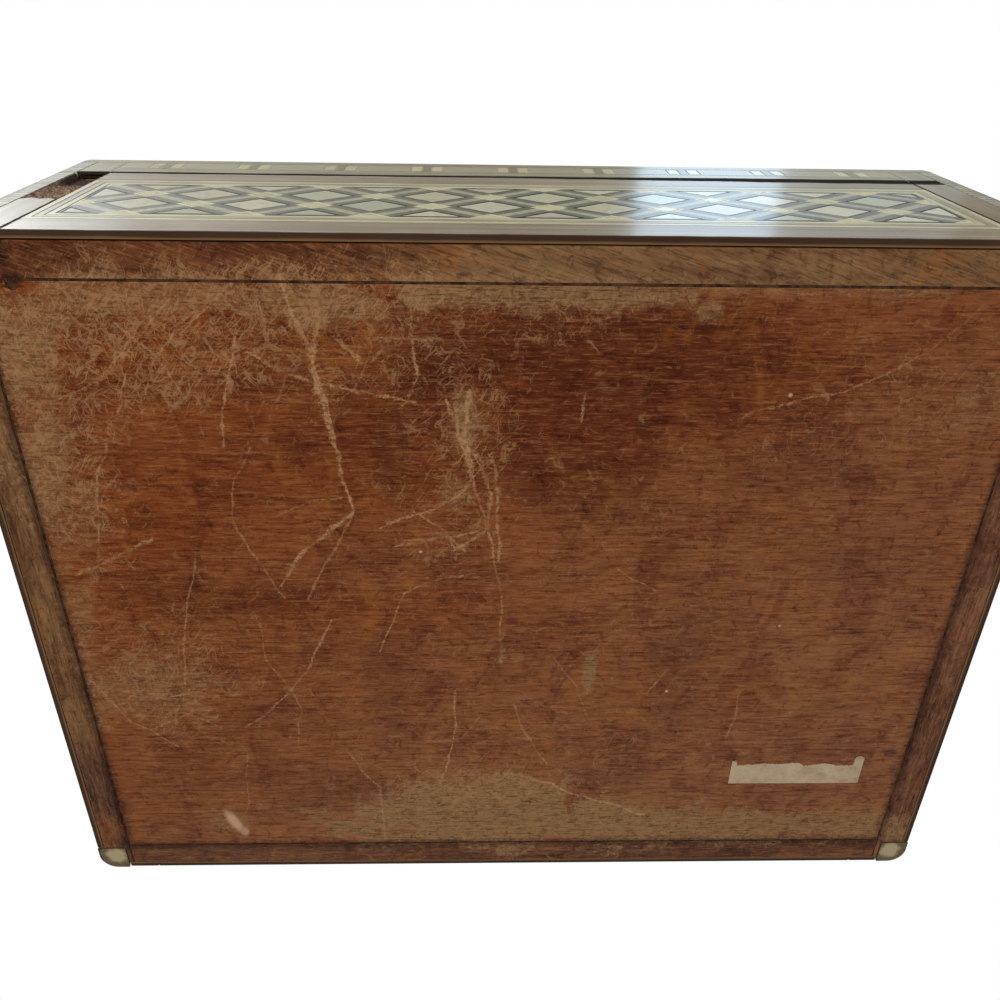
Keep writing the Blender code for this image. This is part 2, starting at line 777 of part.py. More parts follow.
def hinge_leaf(name, centre, up, own, parent=None):
    """One leaf: a plate against the rear face, with necks that carry its knuckles on the axis."""
    axis = HINGE_AXIS + Vector((centre, 0, 0))
    front = -KNUCKLE_RADIUS
    back = LEAF_THICKNESS - KNUCKLE_RADIUS
    near = KNUCKLE_RADIUS + GAP
    bm = bmesh.new()
    low, high = sorted((up * near, up * LEAF_REACH))
    cube_into(bm, (-HINGE_LENGTH / 2, front, low), (HINGE_LENGTH / 2, back, high))
    leaf = add(name, mesh_from(bm, name), "brass", parent)
    leaf.location = axis
    necks = bmesh.new()
    barrels = bmesh.new()
    for start, end in knuckle_spans(own):
        low, high = sorted((0, up * (near + GAP)))
        cube_into(necks, axis + Vector((start, front, low)), axis + Vector((end, back, high)))
        rod_into(barrels, axis + Vector((start, 0, 0)), axis + Vector((end, 0, 0)),
                 KNUCKLE_RADIUS, ROUND_SIDES)
    combine(leaf, hidden_tool(name + "_necks", mesh_from(necks, name + "_necks")), "UNION")
    combine(leaf, hidden_tool(name + "_barrels", mesh_from(barrels, name + "_barrels")), "UNION")
    bores = bmesh.new()
    reach = Vector((HINGE_LENGTH / 2 + OVERRUN, 0, 0))
    rod_into(bores, axis - reach, axis + reach, PIN_RADIUS + PIN_CLEARANCE, ROUND_SIDES)
    for way in (-1, 1):
        hole = axis + Vector((way * SCREW_OFFSET, 0, up * SCREW_SETBACK))
        rod_into(bores, hole + Vector((0, front - OVERRUN, 0)), hole + Vector((0, back + OVERRUN, 0)),
                 SCREW_SHANK_RADIUS + GAP, SCREW_SIDES)
    combine(leaf, hidden_tool(name + "_bores", mesh_from(bores, name + "_bores")), "DIFFERENCE")


def hinge_pin(name, centre):
    bm = bmesh.new()
    half = HINGE_LENGTH / 2 + PIN_OVERHANG
    rod_into(bm, (-half, 0, 0), (half, 0, 0), PIN_RADIUS, ROUND_SIDES)
    pin = add(name, mesh_from(bm, name), "brass")
    pin.location = HINGE_AXIS + Vector((centre, 0, 0))
    smooth_round(pin, SMOOTH_DEGREES)


def hinges(parent):
    for end, side in (("left", -1), ("right", 1)):
        centre = side * HINGE_CENTRE
        hinge_leaf("hinge_" + end + "_body_leaf", centre, -1, 0)
        hinge_leaf("hinge_" + end + "_lid_leaf", centre, 1, 1, parent)
        hinge_pin("hinge_" + end + "_pin", centre)
    screws("body", HINGE_AXIS.z - SCREW_SETBACK)
    screws("lid", HINGE_AXIS.z + SCREW_SETBACK, parent)


def lid_pivot():
    """The empty on the hinge axis that carries the lid."""
    pivot = bpy.data.objects.new("lid_pivot", None)
    PARTS.objects.link(pivot)
    pivot.location = HINGE_AXIS
    return pivot


clear_scene()
PARTS = new_collection("trinket_box")
TOOLS = new_collection("trinket_box_cutters")
LID_PIVOT = lid_pivot()
body()
lid(LID_PIVOT)
hinges(LID_PIVOT)
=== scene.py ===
# Looks of the trinket box: worn base, marquetry sides and top, ringed posts and a velvet lining.
import math

import bmesh
import bpy
import numpy as np
from mathutils import Matrix, Vector


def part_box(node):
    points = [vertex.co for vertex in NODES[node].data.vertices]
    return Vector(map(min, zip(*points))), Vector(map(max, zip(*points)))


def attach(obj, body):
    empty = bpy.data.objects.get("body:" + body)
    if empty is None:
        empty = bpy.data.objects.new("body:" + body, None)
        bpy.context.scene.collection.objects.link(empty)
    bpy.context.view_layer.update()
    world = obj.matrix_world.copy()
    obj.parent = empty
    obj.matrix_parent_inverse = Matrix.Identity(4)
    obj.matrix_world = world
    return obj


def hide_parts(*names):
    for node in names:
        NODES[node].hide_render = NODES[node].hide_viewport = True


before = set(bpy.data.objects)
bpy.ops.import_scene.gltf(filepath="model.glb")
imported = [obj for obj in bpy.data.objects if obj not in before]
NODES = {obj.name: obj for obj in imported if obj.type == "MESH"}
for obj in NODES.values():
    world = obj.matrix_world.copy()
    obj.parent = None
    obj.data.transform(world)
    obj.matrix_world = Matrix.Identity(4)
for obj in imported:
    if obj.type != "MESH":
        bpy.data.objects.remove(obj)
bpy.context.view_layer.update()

MM = 0.001

# The photograph's camera: a lens for a sensor 36 mm wide, and its place and axes in the row frame
LENS = 32.331
SENSOR = 36.0
EYE = Vector((-0.00804, -0.11300, -0.14998))
LOOK_RIGHT = Vector((0.999642, -0.015707, -0.021650))
LOOK_UP = Vector((-0.002905, -0.868393, 0.495868))
LOOK_BACK = Vector((-0.026589, -0.495628, -0.868128))
CLIP_NEAR = 0.005
CLIP_FAR = 20.0

# Light levels: what a matte surface gets from all round, and what gloss mirrors by height
AMBIENT = 0.62
MIRROR_BELOW = 0.20
MIRROR_LEVEL = 1.0
MIRROR_ABOVE = 0.17

# Colours of the light
WHITE = (1.0, 1.0, 1.0)
WARM = (1.0, 0.94, 0.80)
WINDOW_BLUE = (0.56, 0.77, 0.98)
WINDOW_PALE = (0.70, 0.84, 0.95)

# Lamps: place, the point that each looks at, size, power and colour. A window looks straight down.
LAMPS = {
    "key_softbox": ((-0.55, -0.80, 0.95), (0.0, 0.0, 0.03), (0.8, 0.8), 5.5, WHITE),
    "window": ((0.279, -0.270, 1.00), (0.279, -0.270, 0.0), (0.178, 0.50), 0.53, WINDOW_BLUE),
    "window_side": ((0.484, -0.270, 1.00), (0.484, -0.270, 0.0), (0.230, 0.50), 0.12, WINDOW_PALE),
    "far_window": ((-0.550, -0.380, 1.00), (-0.550, -0.380, 0.0), (0.20, 0.16), 0.08, WINDOW_BLUE),
    "rear_softbox": ((0.50, 0.95, 0.80), (0.0, 0.0, 0.03), (0.8, 0.8), 3.0, WHITE),
    "under_fill": ((-0.35, -0.75, -0.85), (0.0, 0.0, 0.0), (0.8, 0.8), 7.4, WHITE),
}

# Lacquer on the veneers and inlay
LACQUER = 0.60
LACQUER_ROUGHNESS = 0.15

# The floor shows only to an eye above it
FLOOR_HALF = 1.2
FLOOR_FADE_START = 0.25
FLOOR_FADE_END = 1.0
FLOOR_LEVEL = -0.0002
FLOOR_COLOUR = (0.86, 0.86, 0.85)

# Sizes of the marquetry, as built
LATTICE_PITCH = 0.0218
LATTICE_ROW = 0.0088
LIGHT_LINE = 0.0011
DARK_LINE = 0.0012
LINE_GROOVE = 0.0003
RIM_PAIR_PITCH = 0.0190
RIM_BLOCK_WIDTH = 0.0022
RIM_BLOCK_SPACING = 0.0045
RIM_STRIP = 0.0047
STILE_WIDTH = 0.0069
POST_RING = 0.0021
POST_CORE = (0.0960, 0.0734)
POST_CORE_RADIUS = 0.0027
POST_END_RADIUS = 0.0042

# Fine depths: thin sheets under the surface, slots, softened edges and the heights of the bumps
GLUE_DEPTH = 0.00006
GLUE_THICKNESS = 0.00003
SEAM_DEPTH = 0.00016
SEAM_INSET = 0.0005
SLOT_DEPTH = 0.0004
SLOT_WIDTH = 0.0007
SLOT_TURN = 37
SLOT_TURN_STEP = 71
SOFT_EDGE = 0.00025
SOFT_EDGE_ANGLE = 50
SHARP_ANGLE = 40
WELD_DISTANCE = 1e-6
MERGE_DISTANCE = 1e-7
FINE_BUMP = 0.00003
GRAIN_BUMP = 0.00004
TILE_BUMP = 0.00005

# Where the veneer of the front left stile is lost: its rectangle, and the hollow that deepens to its top
TORN_LEFT = -0.0931
TORN_RIGHT = -0.0864
TORN_LOW = 0.0238
TORN_HIGH = 0.0517
TORN_COLUMNS = 40
TORN_ROWS = 150
TORN_LEVEL = 0.0003
TORN_FIBRE = 0.0011
TORN_BACK = 0.0017
TORN_SHALLOWEST = 0.0002
TORN_DEEPEST = 0.0015
TORN_SIDE_SLOPE = 0.0006
HOLLOW_START = 0.0405
HOLLOW_RISE = 0.0055
HOLLOW_DEPTH = 0.0008
HOLLOW_FIBRE = 0.0006

# The label's remnant, seen from below: ends, edges, the notch at its left and the tab at its right
LABEL_LEFT = 0.0517
LABEL_RIGHT = 0.0826
LABEL_STRAIGHT_EDGE = 0.0496
LABEL_TORN_EDGE = 0.0435
LABEL_NOTCH_RIGHT = 0.0528
LABEL_NOTCH_EDGE = 0.0425
LABEL_TAB_LEFT = 0.0803
LABEL_TAB_EDGE = 0.0410
LABEL_TAB_ROUND = 0.0006
LABEL_NIBBLE = 0.0009
LABEL_FRAY = 0.00010
LABEL_THICKNESS = 0.00005
LABEL_GAP = 0.000005
LABEL_STEPS = 120

# Velvet pads
LINING_THICKNESS = 0.0015
LINING_FLOOR_TOP = 0.0068
PAD_STEP = 0.0035
PAD_ROUND = 0.0006
PAD_EDGE_SHARE = 0.45
PAD_TUCK = 0.0009
PAD_PRESSURE = 4.0
PAD_FRAMES = 20
PAD_RISE = 0.0012

# Linear colours
BONE_PALE = (0.62, 0.585, 0.37)
BONE_DEEP = (0.50, 0.45, 0.28)
PEARL_CREAM = (0.65, 0.60, 0.43)
PEARL_SEA = (0.43, 0.46, 0.33)
PEARL_ROSE = (0.55, 0.46, 0.38)
BAND_DARK = (0.030, 0.032, 0.023)
BAND_GREY = (0.136, 0.134, 0.088)
BAND_LIGHT = (0.400, 0.385, 0.262)
GLUE = (0.014, 0.013, 0.010)
LINE_GREY = (0.360, 0.345, 0.240)
LINE_BROWN = (0.260, 0.230, 0.150)
VENEER_TAN = (0.360, 0.300, 0.200)
VENEER_BROWN = (0.215, 0.165, 0.103)
FIELD_TAN = (0.285, 0.175, 0.098)
FIELD_BROWN = (0.135, 0.075, 0.040)
RIM_OLIVE = (0.365, 0.328, 0.205)
RIM_BROWN = (0.235, 0.205, 0.135)
# Dark of the seams: dirt in the joints, and painted shade along the lid seam
SEAM_DIRT_AND_SHADE = (0.016, 0.012, 0.008)
PACKED_DARK = (0.020, 0.009, 0.005)
PACKED_BROWN = (0.075, 0.032, 0.015)
RAW_LIGHT = (0.30, 0.20, 0.125)
RAW_DARK = (0.105, 0.062, 0.036)
TORN_LIGHT = (0.52, 0.36, 0.250)
TORN_DARK = (0.110, 0.060, 0.038)
BASE_RED = (0.110, 0.022, 0.005)
BASE_ORANGE = (0.165, 0.033, 0.003)
BASE_DULL = (0.206, 0.078, 0.031)
BASE_GOLD = (0.250, 0.080, 0.012)
WORN_TAN = (0.235, 0.130, 0.055)
WORN_OLIVE = (0.150, 0.076, 0.031)
SCRATCH_TAN = (0.345, 0.185, 0.085)
FINE_TAN = (0.300, 0.158, 0.069)
DASH_PALE = (0.290, 0.115, 0.038)
CHIP_PALE = (0.400, 0.240, 0.145)
# Dark brown of veneer edges and of the wood behind tiles; at the post ends it is painted shade of the
# rounded edge
EDGE_BROWN_AND_SHADE = (0.034, 0.014, 0.008)
POST_PALE = (0.52, 0.51, 0.43)
POST_DEEP = (0.38, 0.36, 0.28)
END_PALE = (0.33, 0.260, 0.140)
END_OLIVE = (0.105, 0.070, 0.032)
PAPER = (0.400, 0.310, 0.200)
VELVET_RED = (0.180, 0.008, 0.016)
VELVET_DEEP = (0.070, 0.002, 0.006)
VELVET_SHEEN = (0.95, 0.28, 0.30)
BRASS = (0.62, 0.43, 0.17)
BRASS_DULL = (0.26, 0.16, 0.07)

# Dark and light of the woods round the base panel
FRONT_RED = ((0.078, 0.023, 0.008), (0.140, 0.044, 0.014))
FRONT_OLIVE = ((0.130, 0.062, 0.026), (0.205, 0.112, 0.046))
LEFT_TAN = ((0.077, 0.036, 0.013), (0.165, 0.081, 0.031))
LEFT_RED = ((0.050, 0.021, 0.012), (0.100, 0.042, 0.023))
RIGHT_RED = ((0.091, 0.035, 0.018), (0.188, 0.079, 0.038))
REAR_BROWN = ((0.070, 0.027, 0.013), (0.140, 0.056, 0.026))


# Node trees, written as sums


def arithmetic(operation, swapped=False):
    """A method for an operator: it adds a Math node."""
    def method(self, other):
        values = (other, self) if swapped else (self, other)
        return self.tree.math(operation, *values)
    return method


class Wire:
    """An output of a node. Arithmetic on it adds Math nodes to its tree."""

    def __init__(self, tree, socket):
        self.tree = tree
        self.socket = socket

    def __abs__(self):
        return self.tree.math("ABSOLUTE", self)

    __add__ = arithmetic("ADD")
    __radd__ = arithmetic("ADD", True)
    __sub__ = arithmetic("SUBTRACT")
    __rsub__ = arithmetic("SUBTRACT", True)
    __mul__ = arithmetic("MULTIPLY")
    __rmul__ = arithmetic("MULTIPLY", True)
    __truediv__ = arithmetic("DIVIDE")
    __lt__ = arithmetic("LESS_THAN")
    __gt__ = arithmetic("GREATER_THAN")


class Tree:
    """A node tree with short words for the nodes used here."""

    def __init__(self, node_tree):
        self.nodes = node_tree.nodes
        self.links = node_tree.links

    def put(self, value, socket):
        if isinstance(value, Wire):
            self.links.new(value.socket, socket)
        elif isinstance(value, tuple) and socket.type == "RGBA":
            socket.default_value = (*value, 1.0)
        else:
            socket.default_value = value

    def node(self, kind, output=0, settings=(), **inputs):
        made = self.nodes.new(kind)
        for name, value in dict(settings).items():
            setattr(made, name, value)
        for name, value in inputs.items():
            self.put(value, made.inputs[name.replace("_", " ")])
        return Wire(self, made.outputs[output])

    def operate(self, kind, operation, values, output=0):
        made = self.nodes.new(kind)
        made.operation = operation
        for socket, value in zip(made.inputs, values):
            self.put(value, socket)
        return Wire(self, made.outputs[output])

    def math(self, operation, *values):
        return self.operate("ShaderNodeMath", operation, values)

    def vector_math(self, operation, *values, output=0):
        return self.operate("ShaderNodeVectorMath", operation, values, output)

    def clamp(self, value):
        return self.node("ShaderNodeClamp", Value=value)

    def smooth(self, value, low, high):
        """0 below low, 1 above high, and an even curve between them. Low may be the larger."""
        share = (value - low) / (high - low)
        return self.node("ShaderNodeMapRange", 0, {"interpolation_type": "SMOOTHSTEP"}, Value=share)

    def mix(self, share, first, second, mode="MIX"):
        made = self.nodes.new("ShaderNodeMix")
        made.data_type = "RGBA"
        made.blend_type = mode
        self.put(share, made.inputs["Factor"])
        self.put(first, made.inputs[6])
        self.put(second, made.inputs[7])
        return Wire(self, made.outputs[2])

    def tint(self, share, first, second):
        """First multiplied by second, as far as the share says."""
        return self.mix(share, first, second, "MULTIPLY")

    def paint(self, colour, value, low, high, strength, other):
        """Another colour laid over one, more of it as the value goes from low to high."""
        return self.mix(self.smooth(value, low, high) * strength, colour, other)

    def darken(self, colour, value, low, high, strength, other):
        """A colour multiplied by another, more as the value goes from low to high."""
        return self.tint(self.smooth(value, low, high) * strength, colour, other)

    def place(self):
        """The point in the row frame, in metres."""
        return self.node("ShaderNodeTexCoord", "Object")

    def axes(self, point):
        made = self.nodes.new("ShaderNodeSeparateXYZ")
        self.put(point, made.inputs[0])
        return [Wire(self, output) for output in made.outputs]

    def vector(self, x, y, z=0.0):
        return self.node("ShaderNodeCombineXYZ", X=x, Y=y, Z=z)

    def turned(self, point, angle):
        """The point turned about the upright axis."""
        return self.node("ShaderNodeVectorRotate", 0, {"rotation_type": "Z_AXIS"}, Vector=point, Angle=angle)

    def group(self, group, **inputs):
        """A node group's outputs; the only one, or a list."""
        made = self.nodes.new("ShaderNodeGroup")
        made.node_tree = group
        for name, value in inputs.items():
            self.put(value, made.inputs[name])
        wires = [Wire(self, output) for output in made.outputs]
        return wires[0] if len(wires) == 1 else wires

    def shaken(self, point, scale, reach):
        """The point moved about in the plane by a noise, up to half the reach."""
        waves = self.node("ShaderNodeTexNoise", "Color", {"noise_dimensions": "2D"},
                          Vector=point, Scale=scale, Detail=3.0)
        centred = self.vector_math("SUBTRACT", waves, (0.5, 0.5, 0.5))
        return self.vector_math("MULTIPLY_ADD", centred, (reach, reach, 0), point)

    def noise(self, point, scale, detail=3.0, roughness=0.5, distortion=0.0, seed=0.0, flat=False):
        """Noise from 0 to 1 with features about one over scale wide; scale may differ by axis."""
        scales = scale if isinstance(scale, tuple) else (scale, scale, scale)
        spread = self.vector_math("MULTIPLY_ADD", point, scales, (seed * 7.13, seed * 3.71, seed * 5.37))
        return self.node("ShaderNodeTexNoise", "Fac", {"noise_dimensions": "2D" if flat else "3D"},
                         Vector=spread, Scale=1.0, Detail=detail, Roughness=roughness, Distortion=distortion)

    def random(self, point):
        return self.node("ShaderNodeTexWhiteNoise", "Value", Vector=point)

    def ramp(self, share, stops):
        made = self.nodes.new("ShaderNodeValToRGB")
        marks = made.color_ramp.elements
        while len(marks) < len(stops):
            marks.new(1.0)
        for mark, (position, colour) in zip(marks, stops):
            mark.position = position
            mark.color = (*colour, 1.0)
        self.put(share, made.inputs[0])
        return Wire(self, made.outputs[0])

    def bump(self, height, distance, strength):
        return self.node("ShaderNodeBump", Height=height, Distance=distance, Strength=strength)


class Finish(Tree):
    """The tree of a new material, which ends in its shader."""

    def __init__(self, name):
        self.material = bpy.data.materials.new(name)
        self.material.use_nodes = True
        super().__init__(self.material.node_tree)

    def done(self, colour, roughness, normal, **others):
        """Wire or set each value on the shader's own socket, and give the material."""
        values = {"Base Color": colour, "Roughness": roughness, "Normal": normal, **others}
        for name, value in values.items():
            self.put(value, self.nodes["Principled BSDF"].inputs[name.replace("_", " ")])
        return self.material

    def lacquered(self, colour, roughness, normal, coat=LACQUER, **others):
        return self.done(colour, roughness, normal, Coat_Weight=coat,
                         Coat_Roughness=LACQUER_ROUGHNESS, **others)


def dress(names, material):
    for name in names:
        slots = NODES[name].data.materials
        slots.clear()
        slots.append(material)


# Woods


def grain_scales(along, fine, long):
    """Noise scales for fibres that run along an axis: 0, 1 or 2."""
    return tuple(long if axis == along else fine for axis in range(3))


def wood_figure(tree, point, along, seed):
    """Shares from 0 to 1: light against dark figure, fine streaks and dark pores of a fine wood."""
    broad = tree.noise(point, grain_scales(along, 85, 7), 3, 0.55, 0.6, seed)
    streaks = tree.noise(point, grain_scales(along, 900, 26), 3, 0.6, 0.2, seed + 3)
    pores = tree.noise(point, grain_scales(along, 2600, 170), 2, 0.6, 0.0, seed + 7)
    figure = tree.smooth(broad * 0.6 + streaks * 0.4, 0.32, 0.68)
    return figure, streaks, tree.smooth(pores, 0.55, 0.70)


def plain_wood(name, along, light, dark, roughness, seed, gloss, coat=0.0, pore=0.6):
    tree = Finish(name)
    figure, streaks, pores = wood_figure(tree, tree.place(), along, seed)
    colour = tree.tint(pores * pore, tree.mix(figure, dark, light), dark)
    height = streaks * 0.5 - pores * 0.5
    return tree.done(colour, roughness, tree.bump(height, GRAIN_BUMP, 0.6),
                     Specular_IOR_Level=gloss, Coat_Weight=coat, Coat_Roughness=0.22)


# The base: red-brown stain, worn tan where it has rubbed, with pale scratches


def new_group(name, inputs, outputs):
    """An empty node group, its tree, and a wire for each of its inputs."""
    group = bpy.data.node_groups.new(name, "ShaderNodeTree")
    for label, kind in inputs:
        group.interface.new_socket(label, in_out="INPUT", socket_type="NodeSocket" + kind)
    for label in outputs:
        group.interface.new_socket(label, in_out="OUTPUT", socket_type="NodeSocketFloat")
    tree = Tree(group)
    made = group.nodes.new("NodeGroupInput")
    return group, tree, [Wire(tree, socket) for socket in made.outputs[:len(inputs)]]


def close_group(group, tree, *results):
    made = group.nodes.new("NodeGroupOutput")
    for socket, value in zip(made.inputs, results):
        tree.put(value, socket)
    return group


def patch_group():
    """A node group: 1 inside an ellipse, falling to 0 over an uneven edge."""
    inputs = (("Point", "Vector"), ("Centre", "Vector"), ("Radii", "Vector"), ("Turn", "Float"),
              ("Warp", "Float"))
    group, tree, (point, centre, radii, turn, warp) = new_group("patch", inputs, ("Cover",))
    offset = tree.turned(tree.vector_math("SUBTRACT", point, centre), turn)
    distance = tree.vector_math("LENGTH", tree.vector_math("DIVIDE", offset, radii), output=1)
    return close_group(group, tree, tree.smooth(distance + warp, 1.5, 0.5))


def scratch_group():
    """A node group: how strongly a point lies on a straight scratch between two points."""
    inputs = (("Point", "Vector"), ("Start", "Vector"), ("Run", "Vector"), ("Width", "Float"))
    group, tree, (point, start, run, width) = new_group("scratch", inputs, ("Mark",))
    offset = tree.vector_math("SUBTRACT", point, start)
    along = tree.vector_math("DOT_PRODUCT", offset, run, output=1)
    share = tree.clamp(along / tree.vector_math("DOT_PRODUCT", run, run, output=1))
    nearest = tree.node("ShaderNodeVectorMath", 0, {"operation": "SCALE"}, Vector=run, Scale=share)
    distance = tree.vector_math("DISTANCE", offset, nearest, output=1)
    return close_group(group, tree, tree.smooth(distance / width, 1.0, 0.25))


# Long scratches on the base: width in mm, strength, and the points that each runs through, in mm
SCRATCHES = (
    (0.50, 0.75, ((-41, -70), (-36, -53), (-34, -41), (-33, -30), (-32, -25))),
    (0.55, 0.70, ((-32, -25), (-37, -20), (-43, -14), (-47, -7))),
    (0.34, 0.55, ((-38, 1), (-43, 13), (-50, 23), (-59, 31))),
    (0.30, 0.45, ((-32, -25), (-36, -15), (-42, -4))),
    (0.45, 0.65, ((-49, -57), (-43, -54), (-36, -51), (-26, -49), (-20, -48))),
    (0.34, 0.60, ((-19, -64), (-19, -53), (-22, -47))),
    (0.34, 0.60, ((-50, -60), (-53, -51), (-54.6, -43), (-55, -38))),
    (0.26, 0.50, ((-50, -38), (-53.6, -31), (-54.6, -24), (-52.9, -15.6), (-47, -4))),
    (0.40, 0.50, ((-88, -10), (-78.6, -14), (-71.4, -18.5))),
    (0.24, 0.45, ((-63.6, -14), (-66.4, -4), (-68, 4.4), (-70.7, 18.6))),
    (0.40, 0.65, ((-27, -21.5), (-17, -25), (-11.4, -28.5), (-8, -33))),
    (0.34, 0.60, ((-24, -17), (-14, -18.5), (-6, -21))),
    (0.28, 0.55, ((-20, -25), (-14, -20), (-12, -15))),
    (0.40, 0.60, ((-14, -48.5), (-11.4, -43), (-8.6, -31.4), (-5.7, -21.4), (-4.4, -14))),
    (0.26, 0.50, ((-4.4, -14), (-2.9, -7), (-2.1, 13))),
    (0.30, 0.60, ((-8, -10.6), (-17, -8), (-22, -5.6), (-25.7, 3), (-28.6, 10))),
    (0.28, 0.70, ((-12.9, 20), (-12.9, 31.5), (-14.3, 41.5), (-15.7, 48.6))),
    (0.26, 0.55, ((0, 24.4), (2.9, 33), (8, 43))),
    (0.40, 0.65, ((0, 46.5), (10, 50), (20, 55), (33, 60))),
    (0.28, 0.45, ((-37, 38.6), (-33, 46), (-30, 50), (-30, 68))),
    (0.36, 0.40, ((66, -53), (60, -50.6), (50, -47.8), (42, -46))),
    (0.28, 0.35, ((80, -66), (72, -58), (66, -53))),
    (0.24, 0.50, ((20.7, -11.4), (28.6, -5.6))),
    (0.26, 0.40, ((-20, 36), (-11.4, 34.4), (-7, 28.6))),
    (0.28, 0.40, ((50.7, 21.5), (50.3, 30), (48.6, 36))),
    (0.36, 0.50, ((-76, -39), (-80, -28), (-82, -18))),
    (0.30, 0.75, ((11.4, -60), (13.6, -57))),
    (0.30, 0.55, ((11.4, -50), (11.4, -44))),
    (0.28, 0.45, ((-60, -66), (-70, -56), (-79, -46))),
    (0.26, 0.45, ((-48, -70), (-58, -62), (-66, -54))),
    (0.30, 0.45, ((-70, -62), (-64, -56), (-60, -48))),
    (0.26, 0.40, ((-36, -60), (-41, -54), (-44, -46))),
    (0.24, 0.40, ((-28, -66), (-26, -58), (-30, -50))),
    (0.24, 0.40, ((-48, 36), (-46, 26), (-52, 12), (-54, 0))),
    (0.22, 0.35, ((9, 12), (14, 20), (18, 30))),
    (0.22, 0.35, ((-60, 40), (-61, 52), (-63, 62))),
    (0.24, 0.40, ((-46, -24), (-39, -27), (-33, -28))),
    (0.24, 0.45, ((30, 22), (34, 14))),
    (0.70, 0.70, ((-35, -65.5), (-36.7, -58), (-36.3, -51), (-34, -39))),
    (0.42, 0.60, ((-26, -59.7), (-14, -60))),
    (0.34, 0.60, ((-22.4, -18), (-13.7, -18.7), (-10.2, -15.2))),
    (0.42, 0.65, ((-12.6, -15.4), (-5.7, -20.8), (-5.2, -28.9), (-8.5, -37))),
    (0.80, 0.75, ((-9.2, -49.7), (-9.8, -42), (-9.2, -34))),
    (0.55, 0.65, ((-11.9, -47), (-10.7, -40), (-7.3, -35.6))),
    (0.36, 0.60, ((-5.8, -37), (-4, -29), (-3.4, -13.6))),
    (0.60, 0.65, ((-32.6, -59.3), (-30.2, -57.5), (-28.2, -55.7))),
    (0.30, 0.50, ((-85, 20), (-75.7, 23), (-66.7, 20.3))),
    (0.26, 0.45, ((-80.5, 32), (-71, 27.5), (-62.8, 32))),
    (0.26, 0.45, ((-90.7, 17.4), (-84.4, 29), (-74.6, 36.5))),
    (0.34, 0.55, ((-82.5, -47.7), (-74.6, -51.6), (-68, -59))),
)
SCRATCH_SHARE = 1.08

# Places rubbed through to pale wood: centre and radii in mm, turn in degrees, and strength
RUBBED = (
    ((-96, -52), (19, 14), 0, 0.62),
    ((-90, -38), (8, 20), 12, 0.60),
    ((-72, -66), (28, 5), -8, 0.50),
    ((-86, -20), (7, 12), 20, 0.42),
    ((6, -67.8), (30, 3.6), 0, 0.80),
    ((40, -69), (40, 2.2), 0, 0.45),
    ((32, -65), (3, 3), 0, 0.60),
    ((86, -50), (7, 12), 20, 0.42),
    ((-36, -66), (15, 4), 0, 0.55),
    ((-80, 18), (19, 9), 0, 0.46),
    ((-92, 6), (6, 28), 0, 0.46),
    ((-6, 60), (29, 12), 0, 1.20),
    ((24, 63), (26, 8), 0, 0.95),
    ((62, 65), (42, 6), 0, 0.75),
    ((-66, 61), (7, 5), 0, 0.46),
    ((-10, -42), (3, 8), -6, 0.60),
    ((-12, -29), (5, 4), 30, 0.38),
    ((16.6, 15), (1.6, 6), 0, 0.62),
    ((-2.4, 11), (1.0, 3), 0, 0.50),
    ((72, -48), (22, 10), -20, 0.26),
    ((93, -60), (9, 10), 0, 0.36),
    ((62, 20), (30, 30), 0, 0.18),
)

# Places covered with fine crossing scratches
HATCHED = (
    ((-66, -60), (38, 15), -8, 1.00),
    ((-42, -68), (30, 7), 0, 1.00),
    ((-84, -38), (13, 26), 0, 0.90),
    ((-30, -58), (16, 14), 20, 0.70),
    ((-10, -40), (10, 18), 0, 0.85),
    ((-14, -22), (14, 14), 20, 0.62),
    ((-76, 16), (22, 18), 0, 0.78),
    ((4, 36), (30, 20), 0, 0.42),
    ((-2, 58), (36, 12), 0, 0.60),
    ((0, -64), (24, 5), 0, 0.62),
    ((50, -64), (50, 5), 0, 0.22),
    ((-12, 50), (22, 8), 0, 0.90),
    ((64, -46), (30, 14), -20, 0.45),
    ((0, 10), (80, 50), 0, 0.30),
)

# Soft dark stains, soaked in along the grain
STAINS = (
    ((-12, -56), (10, 6), 0, 0.45),
    ((16, -60), (26, 9), 3, 0.30),
    ((-24, -38), (3, 10), 0, 0.40),
    ((-28, 20), (5, 15), -6, 0.34),
    ((36, 14), (7, 20), 5, 0.36),
    ((12, -30), (20, 6), 14, 0.40),
    ((-40, 52), (14, 6), -8, 0.35),
    ((70, -14), (16, 7), 8, 0.25),
    ((24, 44), (9, 9), 20, 0.30),
    ((-62, -4), (16, 5), 4, 0.25),
    ((52, -34), (18, 5), -4, 0.35),
    ((88.3, 40), (1.3, 0.9), 0, 0.95),
    ((-86, -69.5), (3.2, 1.6), 0, 1.00),
    ((-87, -73), (1.6, 2.4), 0, 0.80),
)

# Small chips and drops, brighter than the worn wood
CHIPS = (
    ((-65.7, 61.5), (1.3, 3.6), -24, 1.00),
    ((-63.6, 65), (1.0, 1.6), 0, 0.70),
    ((49, -49.5), (0.45, 0.45), 0, 1.00),
    ((34, 21), (0.35, 0.35), 0, 1.00),
    ((56, 3), (0.30, 0.30), 0, 0.80),
    ((-19, -15.5), (0.35, 0.30), 0, 0.90),
)

# Directions of the fine scratches: turn in degrees, noise scale across them, seed and strength
CROSSINGS = (
    (-60, 2000, 1.0, 1.0), (-38, 2400, 5.0, 0.9), (-96, 1800, 9.0, 0.9), (28, 2200, 13.0, 0.7),
    (4, 2600, 17.0, 0.6), (-50, 1200, 21.0, 0.8), (58, 2000, 25.0, 0.7),
)
CROSSING_LENGTH_SCALE = 170

# The deep red place on the base panel, in metres
RED_CENTRE = (0.002, -0.054)
RED_RADII = (0.042, 0.016)


def strongest(tree, marks):
    """The largest of several wires."""
    total = None
    for mark in marks:
        total = mark if total is None else tree.math("MAXIMUM", total, mark)
    return total


